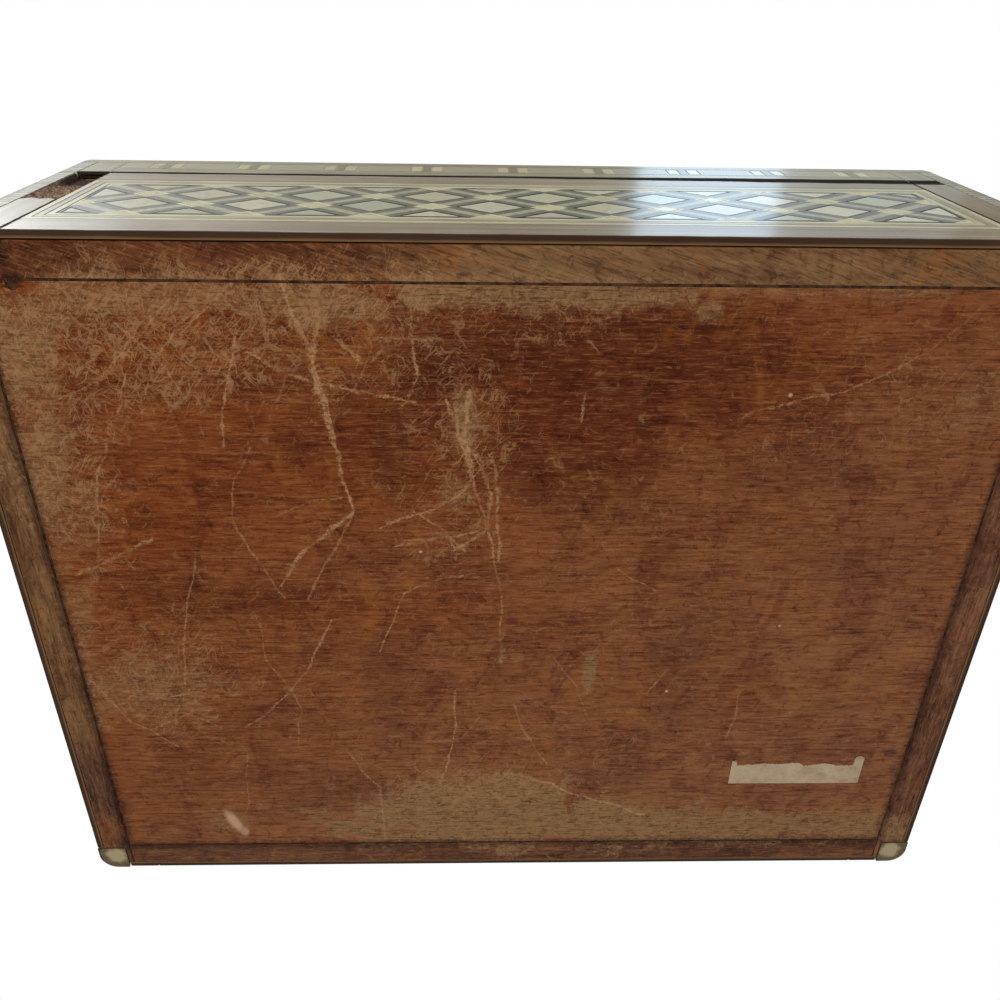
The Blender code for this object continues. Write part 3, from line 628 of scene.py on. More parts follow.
def patches(tree, point, warp, places, group):
    """Where any of the listed soft patches lies, from 0 to 1."""
    return strongest(tree, [
        tree.group(group, Point=point, Centre=(centre[0] * MM, centre[1] * MM, 0),
                   Radii=(radii[0] * MM, radii[1] * MM, 1), Turn=math.radians(-turn), Warp=warp) * strength
        for centre, radii, turn, strength in places])


def long_scratches(tree, point, group):
    """All the long scratches, each line a little wavy, ragged and broken."""
    bent = tree.shaken(tree.shaken(point, 70.0, 3.0 * MM), 1400.0, 0.34 * MM)
    ragged = 0.50 + 1.30 * tree.smooth(tree.noise(point, 520, 4, 0.80, 0.0, 81.0, True), 0.40, 0.66)
    total = strongest(tree, [
        tree.group(group, Point=bent, Start=(start[0] * MM, start[1] * MM, 0),
                   Run=((end[0] - start[0]) * MM, (end[1] - start[1]) * MM, 0),
                   Width=ragged * (width * SCRATCH_SHARE * MM)) * strength
        for width, strength, points in SCRATCHES for start, end in zip(points, points[1:])])
    broken = tree.noise(point, (900, 1300, 1), 4, 0.80, 0.0, 2.0, True)
    faded = tree.noise(point, 120, 2, 0.5, 0.0, 12.0, True)
    strength = (0.30 + 1.1 * tree.smooth(broken, 0.42, 0.56)) * (0.5 + 0.5 * tree.smooth(faded, 0.35, 0.60))
    return tree.clamp(total * strength)


def marks_group():
    """A node group with all the wear of the underside: worn, hatched, stained, chipped and scratched."""
    results = ("Worn", "Hatch", "Stain", "Chip", "Scratch")
    group, tree, (point,) = new_group("base_marks", (("Point", "Vector"),), results)
    patch = patch_group()
    uneven = tree.noise(point, 70, 5, 0.68, 0.5, 21.0, True) - 0.5
    kinds = ((RUBBED, 2.4), (HATCHED, 2.0), (STAINS, 2.2), (CHIPS, 1.0))
    covers = [patches(tree, point, uneven * warp, places, patch) for places, warp in kinds]
    return close_group(group, tree, *covers, long_scratches(tree, point, scratch_group()))


def fine_scratches(tree, point, density):
    """Short fine scratches that cross, more of them where the density is high."""
    bent = tree.shaken(point, 110.0, 2.2 * MM)
    level = 0.710 - density * 0.114
    lines = []
    for turn, width, seed, strength in CROSSINGS:
        turned = tree.turned(bent, math.radians(-turn))
        line = tree.noise(turned, (CROSSING_LENGTH_SCALE, width, 1), 3, 0.68, 0.0, seed, True)
        lines.append(tree.clamp((line - level) * 10.0) * strength)
    scuffs = tree.noise(bent, 330, 5, 0.80, 1.0, 71.0, True)
    scuff = tree.smooth(scuffs + density * 0.085, 0.635, 0.665)
    return strongest(tree, lines + [scuff * 0.8])


def seam_band(tree, x, y, uneven):
    """A soft darker band along the joints of the base panel with the end boards and the rear board."""
    _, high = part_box("base_panel")
    outside = tree.math("MAXIMUM", abs(x) - high[0], y - high[1])
    return tree.smooth(abs(outside - 0.5 * MM) + (uneven - 0.5) * (3.0 * MM), 2.2 * MM, 0.2 * MM)


def base_wood(name, along, ground, marks, wear=0.0, seed=0.0, lean=0.0, hatching=1.0):
    """Stained wood of the underside, with wear shared by all the boards that meet there."""
    tree = Finish(name)
    point = tree.place()
    x, y, _ = tree.axes(point)
    flat = tree.vector(x, y)
    grain = tree.turned(point, math.radians(-lean)) if lean else point
    broad = tree.noise(point, grain_scales(along, 150, 26), 4, 0.6, 0.6, seed)
    mottle = tree.noise(flat, (95, 60, 1), 4, 0.68, 0.8, 51.0 + seed, True)
    streaks = tree.noise(grain, grain_scales(along, 1300, 120), 4, 0.70, 0.2, seed + 3)
    dashes = tree.noise(grain, grain_scales(along, 3000, 330), 2, 0.70, 0.0, seed + 7)
    speckle = tree.noise(flat, 900, 4, 0.78, 0.6, 31.0, True)
    specks = tree.noise(flat, 420, 3, 0.80, 0.5, 61.0, True)
    worn, hatch, stain, chip, scratch = tree.group(marks, Point=flat)
    worn = worn + wear
    hatch = hatch * hatching

    # The stained wood and its grain
    colour = ground(tree, x, y, broad)
    colour = tree.darken(colour, mottle, 0.52, 0.34, 0.75, (0.70, 0.56, 0.56))
    colour = tree.paint(colour, mottle, 0.54, 0.72, 0.40, BASE_GOLD)
    colour = tree.darken(colour, streaks, 0.52, 0.36, 0.70, (0.54, 0.43, 0.39))
    colour = tree.paint(colour, streaks, 0.54, 0.68, 0.44, DASH_PALE)

    # Stains, haze, and bare wood where it has worn through
    colour = tree.tint(tree.clamp(stain * (0.35 + streaks * 1.1)), colour, (0.36, 0.34, 0.42))
    colour = tree.paint(colour, worn + (mottle - 0.5) * 0.5, 0.10, 0.75, 0.38, WORN_TAN)
    cover = tree.smooth(worn + (speckle - 0.5) * 2.0 + (streaks - 0.5) * 0.7, 0.42, 0.86)
    rub = tree.mix(tree.smooth(dashes * 0.5 + speckle * 0.5, 0.38, 0.60), WORN_OLIVE, WORN_TAN)
    colour = tree.mix(cover * 0.90, colour, rub)

    # Fine scratches, pores and specks, and last the long scratches, chips and a darker band along the seams
    colour = tree.mix(fine_scratches(tree, flat, hatch) * (0.16 + hatch * 0.72), colour, FINE_TAN)
    colour = tree.darken(colour, dashes, 0.46, 0.34, 0.55, (0.36, 0.28, 0.25))
    colour = tree.paint(colour, dashes, 0.56, 0.70, 0.42, DASH_PALE)
    colour = tree.darken(colour, specks, 0.42, 0.32, 0.55, (0.40, 0.32, 0.30))
    colour = tree.paint(colour, specks, 0.62, 0.74, 0.45, WORN_TAN)
    colour = tree.mix(scratch, colour, SCRATCH_TAN)
    colour = tree.mix(chip, colour, CHIP_PALE)
    colour = tree.tint(seam_band(tree, x, y, speckle) * 0.75, colour, (0.36, 0.29, 0.31))
    height = streaks * 0.4 + dashes * 0.5
    return tree.done(colour, 0.50 + cover * 0.2, tree.bump(height, 0.00007, 0.7), Specular_IOR_Level=0.12)


def panel_ground(tree, x, y, broad):
    """Orange-brown to the left, deep red above the middle, and duller to the right and below."""
    drift = tree.noise(tree.vector(x, y), (11, 22, 1), 3, 0.6, 0.5, 41.0, True) - 0.5
    lower_right = tree.clamp(0.58 + x * 3.5 + y * 6.0 + drift * 0.8)
    colour = tree.mix(lower_right, BASE_ORANGE, BASE_DULL)
    across = (x - RED_CENTRE[0]) / RED_RADII[0]
    up = (y - RED_CENTRE[1]) / RED_RADII[1]
    distance = tree.math("SQRT", across * across + up * up)
    colour = tree.paint(colour, distance + drift * 2.6 + (broad - 0.5) * 1.2, 1.9, 0.3, 0.85, BASE_RED)
    colour = tree.darken(colour, broad, 0.52, 0.34, 0.50, (0.66, 0.56, 0.54))
    return tree.paint(colour, broad, 0.54, 0.74, 0.40, BASE_GOLD)


def two_tones(tree, broad, dark_and_light):
    return tree.mix(tree.smooth(broad, 0.35, 0.65), *dark_and_light)


def front_board_ground(tree, x, y, broad):
    """Red-brown at the left and olive at the right."""
    drift = tree.noise(tree.vector(x, y), (60, 60, 1), 3, 0.6, 0.5, 47.0, True) - 0.5
    left = tree.smooth(x + drift * 0.06, 0.004, -0.040)
    return tree.mix(left, two_tones(tree, broad, FRONT_OLIVE), two_tones(tree, broad, FRONT_RED))


def left_board_ground(tree, x, y, broad):
    """Tan along most of the board, and dark red-brown near the rear."""
    rear = tree.smooth(y + (broad - 0.5) * 0.03, 0.030, 0.052)
    return tree.mix(rear, two_tones(tree, broad, LEFT_TAN), two_tones(tree, broad, LEFT_RED))


def even_ground(dark_and_light):
    """A ground of one wood all over."""
    def ground(tree, x, y, broad):
        return two_tones(tree, broad, dark_and_light)
    return ground


# Marquetry

# Each face: its axes across and up, the axis that it looks along, and which way
FACES = {
    "front": (0, 2, 1, -1),
    "rear": (0, 2, 1, 1),
    "left": (1, 2, 0, -1),
    "right": (1, 2, 0, 1),
    "top": (0, 1, 2, 1),
}
INLAID_SIDES = ("front", "left", "right")

# Strips across a band of the lattice, and half its width in lattice steps
BAND_STOPS = (
    (0.00, BAND_DARK), (0.055, BAND_DARK), (0.085, BAND_GREY), (0.31, BAND_GREY), (0.36, BAND_LIGHT),
    (0.63, BAND_LIGHT), (0.67, BAND_GREY), (0.915, BAND_GREY), (0.945, BAND_DARK), (1.00, BAND_DARK),
)
BAND_HALF_SHARE = 0.42
BONE_HALO = 0.33


def face_axes(tree, face):
    """Across and up on a face, in metres."""
    axes = tree.axes(tree.place())
    across, up, _, _ = FACES[face]
    return axes[across], axes[up]


def face_box(name, face):
    """Across and up limits of a node on its face."""
    low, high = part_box(name)
    across, up, _, _ = FACES[face]
    return low[across], high[across], low[up], high[up]


def depth_in(tree, name, face):
    """How far a point lies behind the face of a node."""
    low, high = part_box(name)
    _, _, axis, sign = FACES[face]
    reach = tree.axes(tree.place())[axis]
    return high[axis] - reach if sign > 0 else reach - low[axis]


def ring_depth(tree, across, up, box):
    """How far a point lies inside a rectangle."""
    left, right, low, high = box
    beside = tree.math("MINIMUM", across - left, right - across)
    above = tree.math("MINIMUM", up - low, high - up)
    return tree.math("MINIMUM", beside, above)


def stringing_material(name, face):
    """Bone, dark wood and bone in three lines, with a little yellowing."""
    tree = Finish(name + "_finish")
    across, up = face_axes(tree, face)
    depth = ring_depth(tree, across, up, face_box(name, face))
    point = tree.place()
    middle = LIGHT_LINE + LINE_GROOVE + DARK_LINE / 2
    dark = abs(depth - middle) < (DARK_LINE + LINE_GROOVE) / 2
    age = tree.noise(point, 120, 4, 0.6, 0.0, 3.0)
    pale = tree.mix(tree.smooth(age, 0.35, 0.70), BONE_DEEP, BONE_PALE)
    segments = tree.noise(point, 60, 1, 0.5, 0.0, 8.0)
    wood = tree.mix(tree.smooth(segments, 0.3, 0.6), LINE_BROWN, LINE_GREY)
    return tree.lacquered(tree.mix(dark, pale, wood), 0.34, tree.bump(age, GRAIN_BUMP, 0.5))


def lattice_cells(tree, face, bands):
    """Place in the lattice: sum and difference of the cell counts across and up."""
    left, right, low, high = face_box(bands, face)
    columns = max(2, round((right - left) / (LATTICE_PITCH / 2)))
    rows = max(1, round((high - low) / LATTICE_ROW))
    across, up = face_axes(tree, face)
    from_edge = right - across if face == "left" else across - left
    a = from_edge * (columns / (right - left))
    b = (up - low) * (rows / (high - low))
    return a + b, a - b


def bone_nearby(tree, total, difference):
    """1 close to a small bone tile, 0 elsewhere."""
    offsets = [abs(value * 0.5 - tree.math("FLOOR", value * 0.5) - 0.5) for value in (total, difference)]
    return tree.math("MAXIMUM", *offsets) * 2.0 < BONE_HALO


def signed_from_odd(tree, value):
    """Distance from the nearest odd number, from -1 to 1."""
    return tree.math("FLOORED_MODULO", value, 2.0) - 1.0


def lattice_bands_material(name, face):
    """Strips along each band, from dark outline to dark outline, and pale bone round the small tiles."""
    tree = Finish(name + "_finish")
    total, difference = lattice_cells(tree, face, name)
    first = signed_from_odd(tree, total)
    second = signed_from_odd(tree, difference)
    nearer = abs(first) < abs(second)
    signed = nearer * first + (1.0 - nearer) * second
    point = tree.place()
    grain = tree.noise(point, 700, 3, 0.65, 0.5, 2.0)
    drift = tree.noise(point, 75, 2, 0.5, 0.0, 6.0)
    colour = tree.ramp(signed / (2 * BAND_HALF_SHARE) + 0.5, BAND_STOPS)
    colour = tree.darken(colour, grain, 0.55, 0.35, 0.6, (0.55, 0.55, 0.52))
    colour = tree.paint(colour, drift, 0.5, 0.8, 0.25, VENEER_BROWN)
    colour = tree.mix(bone_nearby(tree, total, difference), colour, BONE_PALE)
    return tree.lacquered(colour, 0.36, tree.bump(tree.noise(point, 900, 2), FINE_BUMP, 0.4))


def shell_colours(tree, identity):
    """Mother-of-pearl: each tile has a tint of its own, with soft clouds that run across it."""
    pick = tree.random(identity)
    warm = tree.random(tree.vector_math("MULTIPLY", identity, (1.7, 2.3, 1.1)))
    clouds = tree.noise(tree.place(), 260, 3, 0.55, 1.6, 6.0)
    tone = tree.mix(tree.smooth(pick, 0.45, 0.75), PEARL_CREAM, PEARL_SEA)
    tone = tree.mix(tree.smooth(warm, 0.70, 0.88), tone, PEARL_ROSE)
    tone = tree.paint(tone, clouds, 0.40, 0.70, 0.55, PEARL_SEA)
    tone = tree.paint(tone, clouds, 0.45, 0.25, 0.5, PEARL_ROSE)
    return tree.darken(tone, pick, 0.30, 0.05, 0.5, (0.72, 0.71, 0.66)), clouds


def bone_colours(tree, identity):
    specks = tree.noise(tree.place(), 900, 3, 0.6, 0.0, 9.0)
    tone = tree.mix(tree.smooth(tree.random(identity), 0.0, 0.45), BONE_DEEP, BONE_PALE)
    return tree.darken(tone, specks, 0.60, 0.72, 0.5, (0.60, 0.50, 0.36))


def lattice_tiles_material(name, face, bands):
    """Large tiles of shell in the cells, small ones of bone at the crossings."""
    tree = Finish(name + "_finish")
    total, difference = lattice_cells(tree, face, bands)
    even_total = tree.math("ROUND", total * 0.5)
    even_difference = tree.math("ROUND", difference * 0.5)
    shell = abs(total * 0.5 - even_total) < 0.33
    pearl, clouds = shell_colours(tree, tree.vector(even_total, even_difference, len(face) * 1.0))
    odd_cell = tree.vector(tree.math("FLOOR", total * 0.5), tree.math("FLOOR", difference * 0.5), 7.3)
    colour = tree.mix(shell, bone_colours(tree, odd_cell), pearl)
    return tree.lacquered(colour, 0.27, tree.bump(clouds, TILE_BUMP, 0.35))


def scattered_tiles_material(name, scale, shell_share, side=None):
    """Shell and bone tiles told apart by where they lie; on a side, brown wood behind them."""
    tree = Finish(name + "_finish")
    cells = tree.node("ShaderNodeTexVoronoi", "Position", Vector=tree.place(), Scale=scale)
    pearl, clouds = shell_colours(tree, cells)
    colour = tree.mix(tree.random(cells) < shell_share, bone_colours(tree, cells), pearl)
    if side:
        behind = tree.smooth(depth_in(tree, name, side), 0.00005, 0.00020)
        colour = tree.mix(behind, colour, EDGE_BROWN_AND_SHADE)
    return tree.lacquered(colour, 0.27, tree.bump(clouds, TILE_BUMP, 0.35))


def veneer_wood(tree, along_up, light, dark, across, up, seed):
    """Veneer whose fibres run up where along_up is 1, and across elsewhere."""
    point = tree.place()
    flat_up = tree.vector(across, up)
    level = tree.noise(flat_up, (14, 620, 1), 3, 0.6, 0.3, seed)
    upright = tree.noise(flat_up, (620, 14, 1), 3, 0.6, 0.3, seed + 2)
    streak = along_up * upright + (1.0 - along_up) * level
    broad = tree.noise(point, 34, 3, 0.55, 0.5, seed + 5)
    colour = tree.mix(tree.smooth(streak * 0.6 + broad * 0.4, 0.36, 0.64), dark, light)
    specks = tree.noise(point, 1600, 2, 0.6, 0.0, seed + 8)
    return tree.darken(colour, specks, 0.60, 0.72, 0.5, (0.5, 0.42, 0.36)), streak


def seam_dirt_and_shade_reach(tree, side, across, up):
    """How far dirt and painted seam shade creep on to a face from the seam: uneven, and more at the right of
    the front.
    """
    uneven = tree.noise(tree.vector(across, up), (90, 400, 1), 3, 0.6, 0.0, 4.0, True) - 0.5
    reach = uneven * (1.0 * MM) + 0.3 * MM
    # At the right of the front the reach grows: painted shade that stands in for a seam gap widening there
    if side == "front":
        reach = reach + tree.smooth(across, -0.03, 0.09) * (1.5 * MM)
    return reach


def dulled_veneer(tree, colour, dull, streak):
    """Lacquered veneer that has lost its gloss where it is dirty and where shade is painted along the seam.
    """
    clean = 1.0 - dull
    return tree.lacquered(colour, 0.36 + dull * 0.4, tree.bump(streak, GRAIN_BUMP, 0.5), clean * LACQUER,
                          Specular_IOR_Level=clean * 0.45 + 0.05)


def border_material(side):
    """Frame veneer of a side: upright fibres in the stiles, level ones in the rails."""
    name = side + "_border_veneer"
    tree = Finish(name + "_finish")
    across, up = face_axes(tree, side)
    _, right, low, high = face_box(name, side)
    inner = right - STILE_WIDTH
    stile = abs(across) > inner
    colour, streak = veneer_wood(tree, stile, VENEER_TAN, VENEER_BROWN, across, up, 3.0 + len(side))
    uneven = tree.noise(tree.vector(across, up), (60, 300, 1), 3, 0.6, 0.0, 14.0, True) - 0.5
    joint = tree.smooth(abs(abs(across) - inner) + uneven * (0.4 * MM), 0.55 * MM, 0.20 * MM)
    lower = tree.smooth(up + uneven * (1.0 * MM), low + 1.1 * MM, low + 0.4 * MM)
    # Along the top edge: dirt, with painted shade of the seam gap
    upper = tree.smooth(up + seam_dirt_and_shade_reach(tree, side, across, up), high - 0.3 * MM, high)
    under = tree.smooth(depth_in(tree, name, side) + uneven * (0.4 * MM), 0.7 * MM, 1.2 * MM)
    colour = tree.mix(joint * 0.85, colour, SEAM_DIRT_AND_SHADE)
    colour = tree.mix(lower * 0.95, colour, tree.mix(under, EDGE_BROWN_AND_SHADE, WORN_OLIVE))
    colour = tree.mix(upper * 0.95, colour, SEAM_DIRT_AND_SHADE)
    return dulled_veneer(tree, colour, strongest(tree, [joint, lower, upper]), streak)


def rim_material(side):
    """Lid edge: a plain strip, and above it olive ground with a brown block in each bone pair."""
    name = side + "_rim_veneer"
    tree = Finish(name + "_finish")
    across, up = face_axes(tree, side)
    _, right, low, _ = face_box(name, side)
    inner = right - STILE_WIDTH
    stile = abs(across) > inner
    colour, streak = veneer_wood(tree, stile, RIM_OLIVE, RIM_BROWN, across, up, 13.0 + len(side))
    if side in INLAID_SIDES:
        pairs = max(1, round(2 * inner / RIM_PAIR_PITCH))
        pitch = 2 * inner / pairs
        place = tree.math("FLOORED_MODULO", (across + inner) / pitch, 1.0) - 0.5
        between = abs(place) * pitch < (RIM_BLOCK_SPACING - RIM_BLOCK_WIDTH) / 2
        band = (up > low + RIM_STRIP) * (1.0 - stile)
        olive, _ = veneer_wood(tree, stile, RIM_OLIVE, LINE_GREY, across, up, 23.0)
        colour = tree.mix(band, colour, olive)
        colour = tree.mix(band * between, colour, RIM_BROWN)
    # Along the lower edge: dirt, with painted shade of the seam gap
    dirt = tree.smooth(up - seam_dirt_and_shade_reach(tree, side, across, up), low + 0.3 * MM, low)
    return dulled_veneer(tree, tree.mix(dirt * 0.95, colour, SEAM_DIRT_AND_SHADE), dirt, streak)


def lid_material():
    """Brown top veneer, and olive round the lid's edge to match the rim below it."""
    tree = Finish("lid_top_wood")
    point = tree.place()
    x, y, z = tree.axes(point)
    low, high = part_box("lid_panel")
    edges = []
    for place, axis in ((x, 0), (y, 1)):
        half = (high[axis] - low[axis]) / 2
        off_middle = abs(place - (low[axis] + high[axis]) / 2)
        edges.append(tree.smooth(off_middle, half - 2.0 * MM, half - 1.2 * MM))
    edge = strongest(tree, edges)
    figure, streaks, pores = wood_figure(tree, point, 0, 5.0)
    top = tree.tint(0.75, tree.mix(figure, VENEER_BROWN, VENEER_TAN), (0.62, 0.46, 0.36))
    colour = tree.mix(edge, top, tree.mix(figure, RIM_BROWN, RIM_OLIVE))
    colour = tree.tint(pores * 0.5, colour, VENEER_BROWN)
    worn_corner = tree.smooth(z, high[2] - 2.0 * MM, high[2] - 0.4 * MM) * edge
    colour = tree.tint(worn_corner * 0.5, colour, (0.45, 0.36, 0.28))
    return tree.lacquered(colour, 0.34, tree.bump(streaks * 0.5 - pores * 0.5, GRAIN_BUMP, 0.6))


def post_material():
    """Corner posts built up from pale rings with dark lines between them, dirty in patches; round their ends
    a dark rim is painted shade of the rounded edge.
    """
    tree = Finish("ringed_post")
    point = tree.place()
    x, y, z = tree.axes(point)
    fine = tree.noise(point, (500, 500, 1800), 3, 0.6, 0.0, 2.0)
    count = z / POST_RING + 0.5 + (fine - 0.5) * 0.15
    line = tree.smooth(abs(tree.math("FLOORED_MODULO", count, 1.0) - 0.5), 0.33, 0.40)
    ring = tree.vector(tree.math("FLOOR", count), tree.math("SIGN", x), tree.math("SIGN", y))
    pick = tree.random(ring)
    pale = tree.mix(pick, POST_DEEP, POST_PALE)
    pale = tree.paint(pale, pick, 0.80, 0.90, 0.5, PEARL_SEA)
    pale = tree.darken(pale, fine, 0.55, 0.35, 0.5, (0.70, 0.64, 0.52))
    dirt = tree.smooth(tree.noise(point, 160, 4, 0.7, 0.0, 5.0), 0.48, 0.70)
    pale = tree.tint(dirt * 0.55, pale, (0.50, 0.42, 0.32))
    colour = tree.mix(line * 0.8, pale, BAND_GREY)
    from_x = abs(x) - POST_CORE[0]
    from_y = abs(y) - POST_CORE[1]
    reach = tree.math("SQRT", from_x * from_x + from_y * from_y)
    reach = reach + (fine - 0.5) * (2.0 * MM) + (dirt - 0.5) * (1.0 * MM)
    # A dark rim round each post end, carried up the lowest part of its sides: painted shade of the rounded
    # bottom edge
    end = tree.mix(tree.smooth(reach, POST_END_RADIUS, POST_END_RADIUS - 0.8 * MM), EDGE_BROWN_AND_SHADE, END_OLIVE)
    end = tree.mix(tree.smooth(reach, POST_CORE_RADIUS, POST_CORE_RADIUS * 0.45), end, END_PALE)
    colour = tree.mix(tree.smooth(z, 0.9 * MM, 0.3 * MM), colour, end)
    return tree.lacquered(colour, 0.42, tree.bump(fine * 0.4 - line * 0.6, 0.00006, 0.6), 0.35)


# Other materials


def gap_material(name, dark, light, scale, roughness, face=None):
    """Glue between the tiles; in a face's lattice it is pale where it meets the small bone tiles."""
    tree = Finish(name)
    grain = tree.noise(tree.place(), scale, 3, 0.6)
    colour = tree.mix(grain, dark, light)
    if face:
        total, difference = lattice_cells(tree, face, face + "_lattice_bands")
        colour = tree.mix(bone_nearby(tree, total, difference), colour, BONE_DEEP)
    return tree.done(colour, roughness, tree.bump(grain, FINE_BUMP, 0.5))


def packed_dirt_material():
    """Old brown dirt."""
    tree = Finish("packed_dirt")
    lumps = tree.noise(tree.place(), 420, 4, 0.75, 0.0, 5.0)
    colour = tree.mix(tree.smooth(lumps, 0.38, 0.62), PACKED_DARK, PACKED_BROWN)
    return tree.done(colour, 0.85, tree.bump(lumps, 0.00005, 0.5), Specular_IOR_Level=0.15)


def brass_material():
    """Dull brass with darker tarnish."""
    tree = Finish("aged_brass")
    point = tree.place()
    tarnish = tree.smooth(tree.noise(point, 260, 5, 0.7, 0.5, 1.0), 0.42, 0.68)
    brushed = tree.noise(point, (90, 2400, 2400), 2, 0.6, 0.0, 4.0)
    return tree.done(tree.mix(tarnish, BRASS, BRASS_DULL), 0.30 + tarnish * 0.25 + brushed * 0.1,
                     tree.bump(brushed, FINE_BUMP, 0.4), Metallic=1.0)


def velvet_material():
    """Short pile that darkens and lightens where it has been brushed."""
    tree = Finish("red_velvet")
    point = tree.place()
    nap = tree.noise(point, 46, 4, 0.55, 1.2, 3.0)
    pile = tree.noise(point, 4200, 2, 0.7, 0.0, 5.0)
    colour = tree.mix(tree.smooth(nap * 0.6 + pile * 0.4, 0.28, 0.66), VELVET_DEEP, VELVET_RED)
    return tree.done(colour, 0.92, tree.bump(pile, 0.00025, 0.9), Specular_IOR_Level=0.15,
                     Sheen_Weight=0.85, Sheen_Roughness=0.35, Sheen_Tint=VELVET_SHEEN)


def paper_material():
    """Yellowed paper, thin and fibrous, with nothing on it."""
    tree = Finish("old_paper")
    point = tree.place()
    fibres = tree.noise(point, 900, 4, 0.65, 0.6, 2.0)
    age = tree.noise(point, 130, 4, 0.6, 0.3, 6.0)
    colour = tree.paint(PAPER, age, 0.42, 0.75, 0.6, WORN_TAN)
    colour = tree.darken(colour, fibres, 0.55, 0.35, 0.4, (0.74, 0.68, 0.58))
    return tree.done(colour, 0.82, tree.bump(fibres, 0.00006, 0.6), Specular_IOR_Level=0.2)


def torn_wood_material():
    """Bare reddish wood under the lost veneer, darker towards the hollow under the seam: dark fibres there,
    and painted shade of the hollow.
    """
    tree = Finish("torn_wood")
    point = tree.place()
    _, _, z = tree.axes(point)
    fibres = tree.noise(point, (2400, 2400, 900), 4, 0.75, 0.8, 3.0)
    lumps = tree.noise(point, (700, 700, 500), 3, 0.6, 0.5, 8.0)
    colour = tree.mix(tree.smooth(fibres * 0.7 + lumps * 0.3, 0.40, 0.64), TORN_DARK, TORN_LIGHT)
    height = z + (lumps - 0.5) * 0.010
    # Darker towards the top: partly dark fibres, partly painted shade of the hollow under the seam
    colour = tree.darken(colour, height, 0.0375, 0.0465, 0.95, (0.13, 0.10, 0.08))
    return tree.done(colour, 0.85, tree.bump(fibres, 0.0003, 0.9), Specular_IOR_Level=0.2)


# New pieces

# Faces of a box whose corners run along x first, then y, then z
BOX_FACES = ((0, 2, 3, 1), (4, 5, 7, 6), (0, 1, 5, 4), (2, 6, 7, 3), (0, 4, 6, 2), (1, 3, 7, 5))


def box_corners(low, high):
    ends = [(low[axis], high[axis]) for axis in range(3)]
    return [Vector((x, y, z)) for z in ends[2] for y in ends[1] for x in ends[0]]


def mesh_object(name, vertices, faces, material, body, smooth=False):
    """A new piece with a clean mesh and one material, which rides on a body."""
    mesh = bpy.data.meshes.new(name)
    mesh.from_pydata([tuple(v) for v in vertices], [], faces)
    bm = bmesh.new()
    bm.from_mesh(mesh)
    bmesh.ops.remove_doubles(bm, verts=bm.verts, dist=MERGE_DISTANCE)
    bmesh.ops.recalc_face_normals(bm, faces=bm.faces)
    bm.to_mesh(mesh)
    bm.free()
    mesh.materials.append(material)
    obj = bpy.data.objects.new(name, mesh)
    bpy.context.scene.collection.objects.link(obj)
    if smooth:
        mesh.shade_smooth()
        mesh.set_sharp_from_angle(angle=math.radians(SHARP_ANGLE))
    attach(obj, body)
    return obj


def double_grid_faces(rows, columns):
    """Faces of a closed sheet: two grids of points, one behind the other, joined round their edges."""
    layer = rows * columns
    faces = []
    for j in range(rows - 1):
        for i in range(columns - 1):
            a = j * columns + i
            b = layer + a
            faces.append((a, a + columns, a + columns + 1, a + 1))
            faces.append((b, b + 1, b + columns + 1, b + columns))
    last = layer - columns
    for a in range(columns - 1):
        b = last + a
        faces.append((a, a + 1, layer + a + 1, layer + a))
        faces.append((b, layer + b, layer + b + 1, b + 1))
    for a in range(0, last, columns):
        b = a + columns - 1
        faces.append((a, layer + a, layer + a + columns, a + columns))
        faces.append((b, b + columns, layer + b + columns, layer + b))
    return faces


def glue_sheet(name, node, face, body, material):
    """Glue just under the surface, seen in the fine gaps round each tile."""
    low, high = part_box(node)
    _, _, axis, sign = FACES[face]
    surface = high[axis] if sign > 0 else low[axis]
    near = surface - sign * GLUE_DEPTH
    far = near - sign * GLUE_THICKNESS
    low[axis] = min(near, far)
    high[axis] = max(near, far)
    return mesh_object(name, box_corners(low, high), BOX_FACES, material, body)


def base_seam_dirt(material):
    """Dirt packed into the joints of the underside: a thin sheet inside the boards, seen in their gaps."""
    left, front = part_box("left_board")[0].x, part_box("front_board")[0].y
    right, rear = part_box("right_board")[1].x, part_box("rear_board")[1].y
    low = (left + SEAM_INSET, front + SEAM_INSET, SEAM_DEPTH)
    high = (right - SEAM_INSET, rear - SEAM_INSET, SEAM_DEPTH + GLUE_THICKNESS)
    return mesh_object("base_seam_dirt", box_corners(low, high), BOX_FACES, material, "body")


def eased(share):
    """0 to 1 with a soft start and end."""
    return share * share * (3 - 2 * share)


def smooth_noise(rng, rows, columns, cell_rows, cell_columns):
    """Random values on a coarse grid, eased on to a fine one."""
    coarse = rng.random((cell_rows + 1, cell_columns + 1))
    r = np.linspace(0, cell_rows, rows)
    c = np.linspace(0, cell_columns, columns)
    r0 = np.minimum(r.astype(int), cell_rows - 1)
    c0 = np.minimum(c.astype(int), cell_columns - 1)
    fr = eased((r - r0)[:, None])
    fc = eased((c - c0)[None, :])
    upper = coarse[r0][:, c0] * (1 - fc) + coarse[r0][:, c0 + 1] * fc
    lower = coarse[r0 + 1][:, c0] * (1 - fc) + coarse[r0 + 1][:, c0 + 1] * fc
    return upper * (1 - fr) + lower * fr


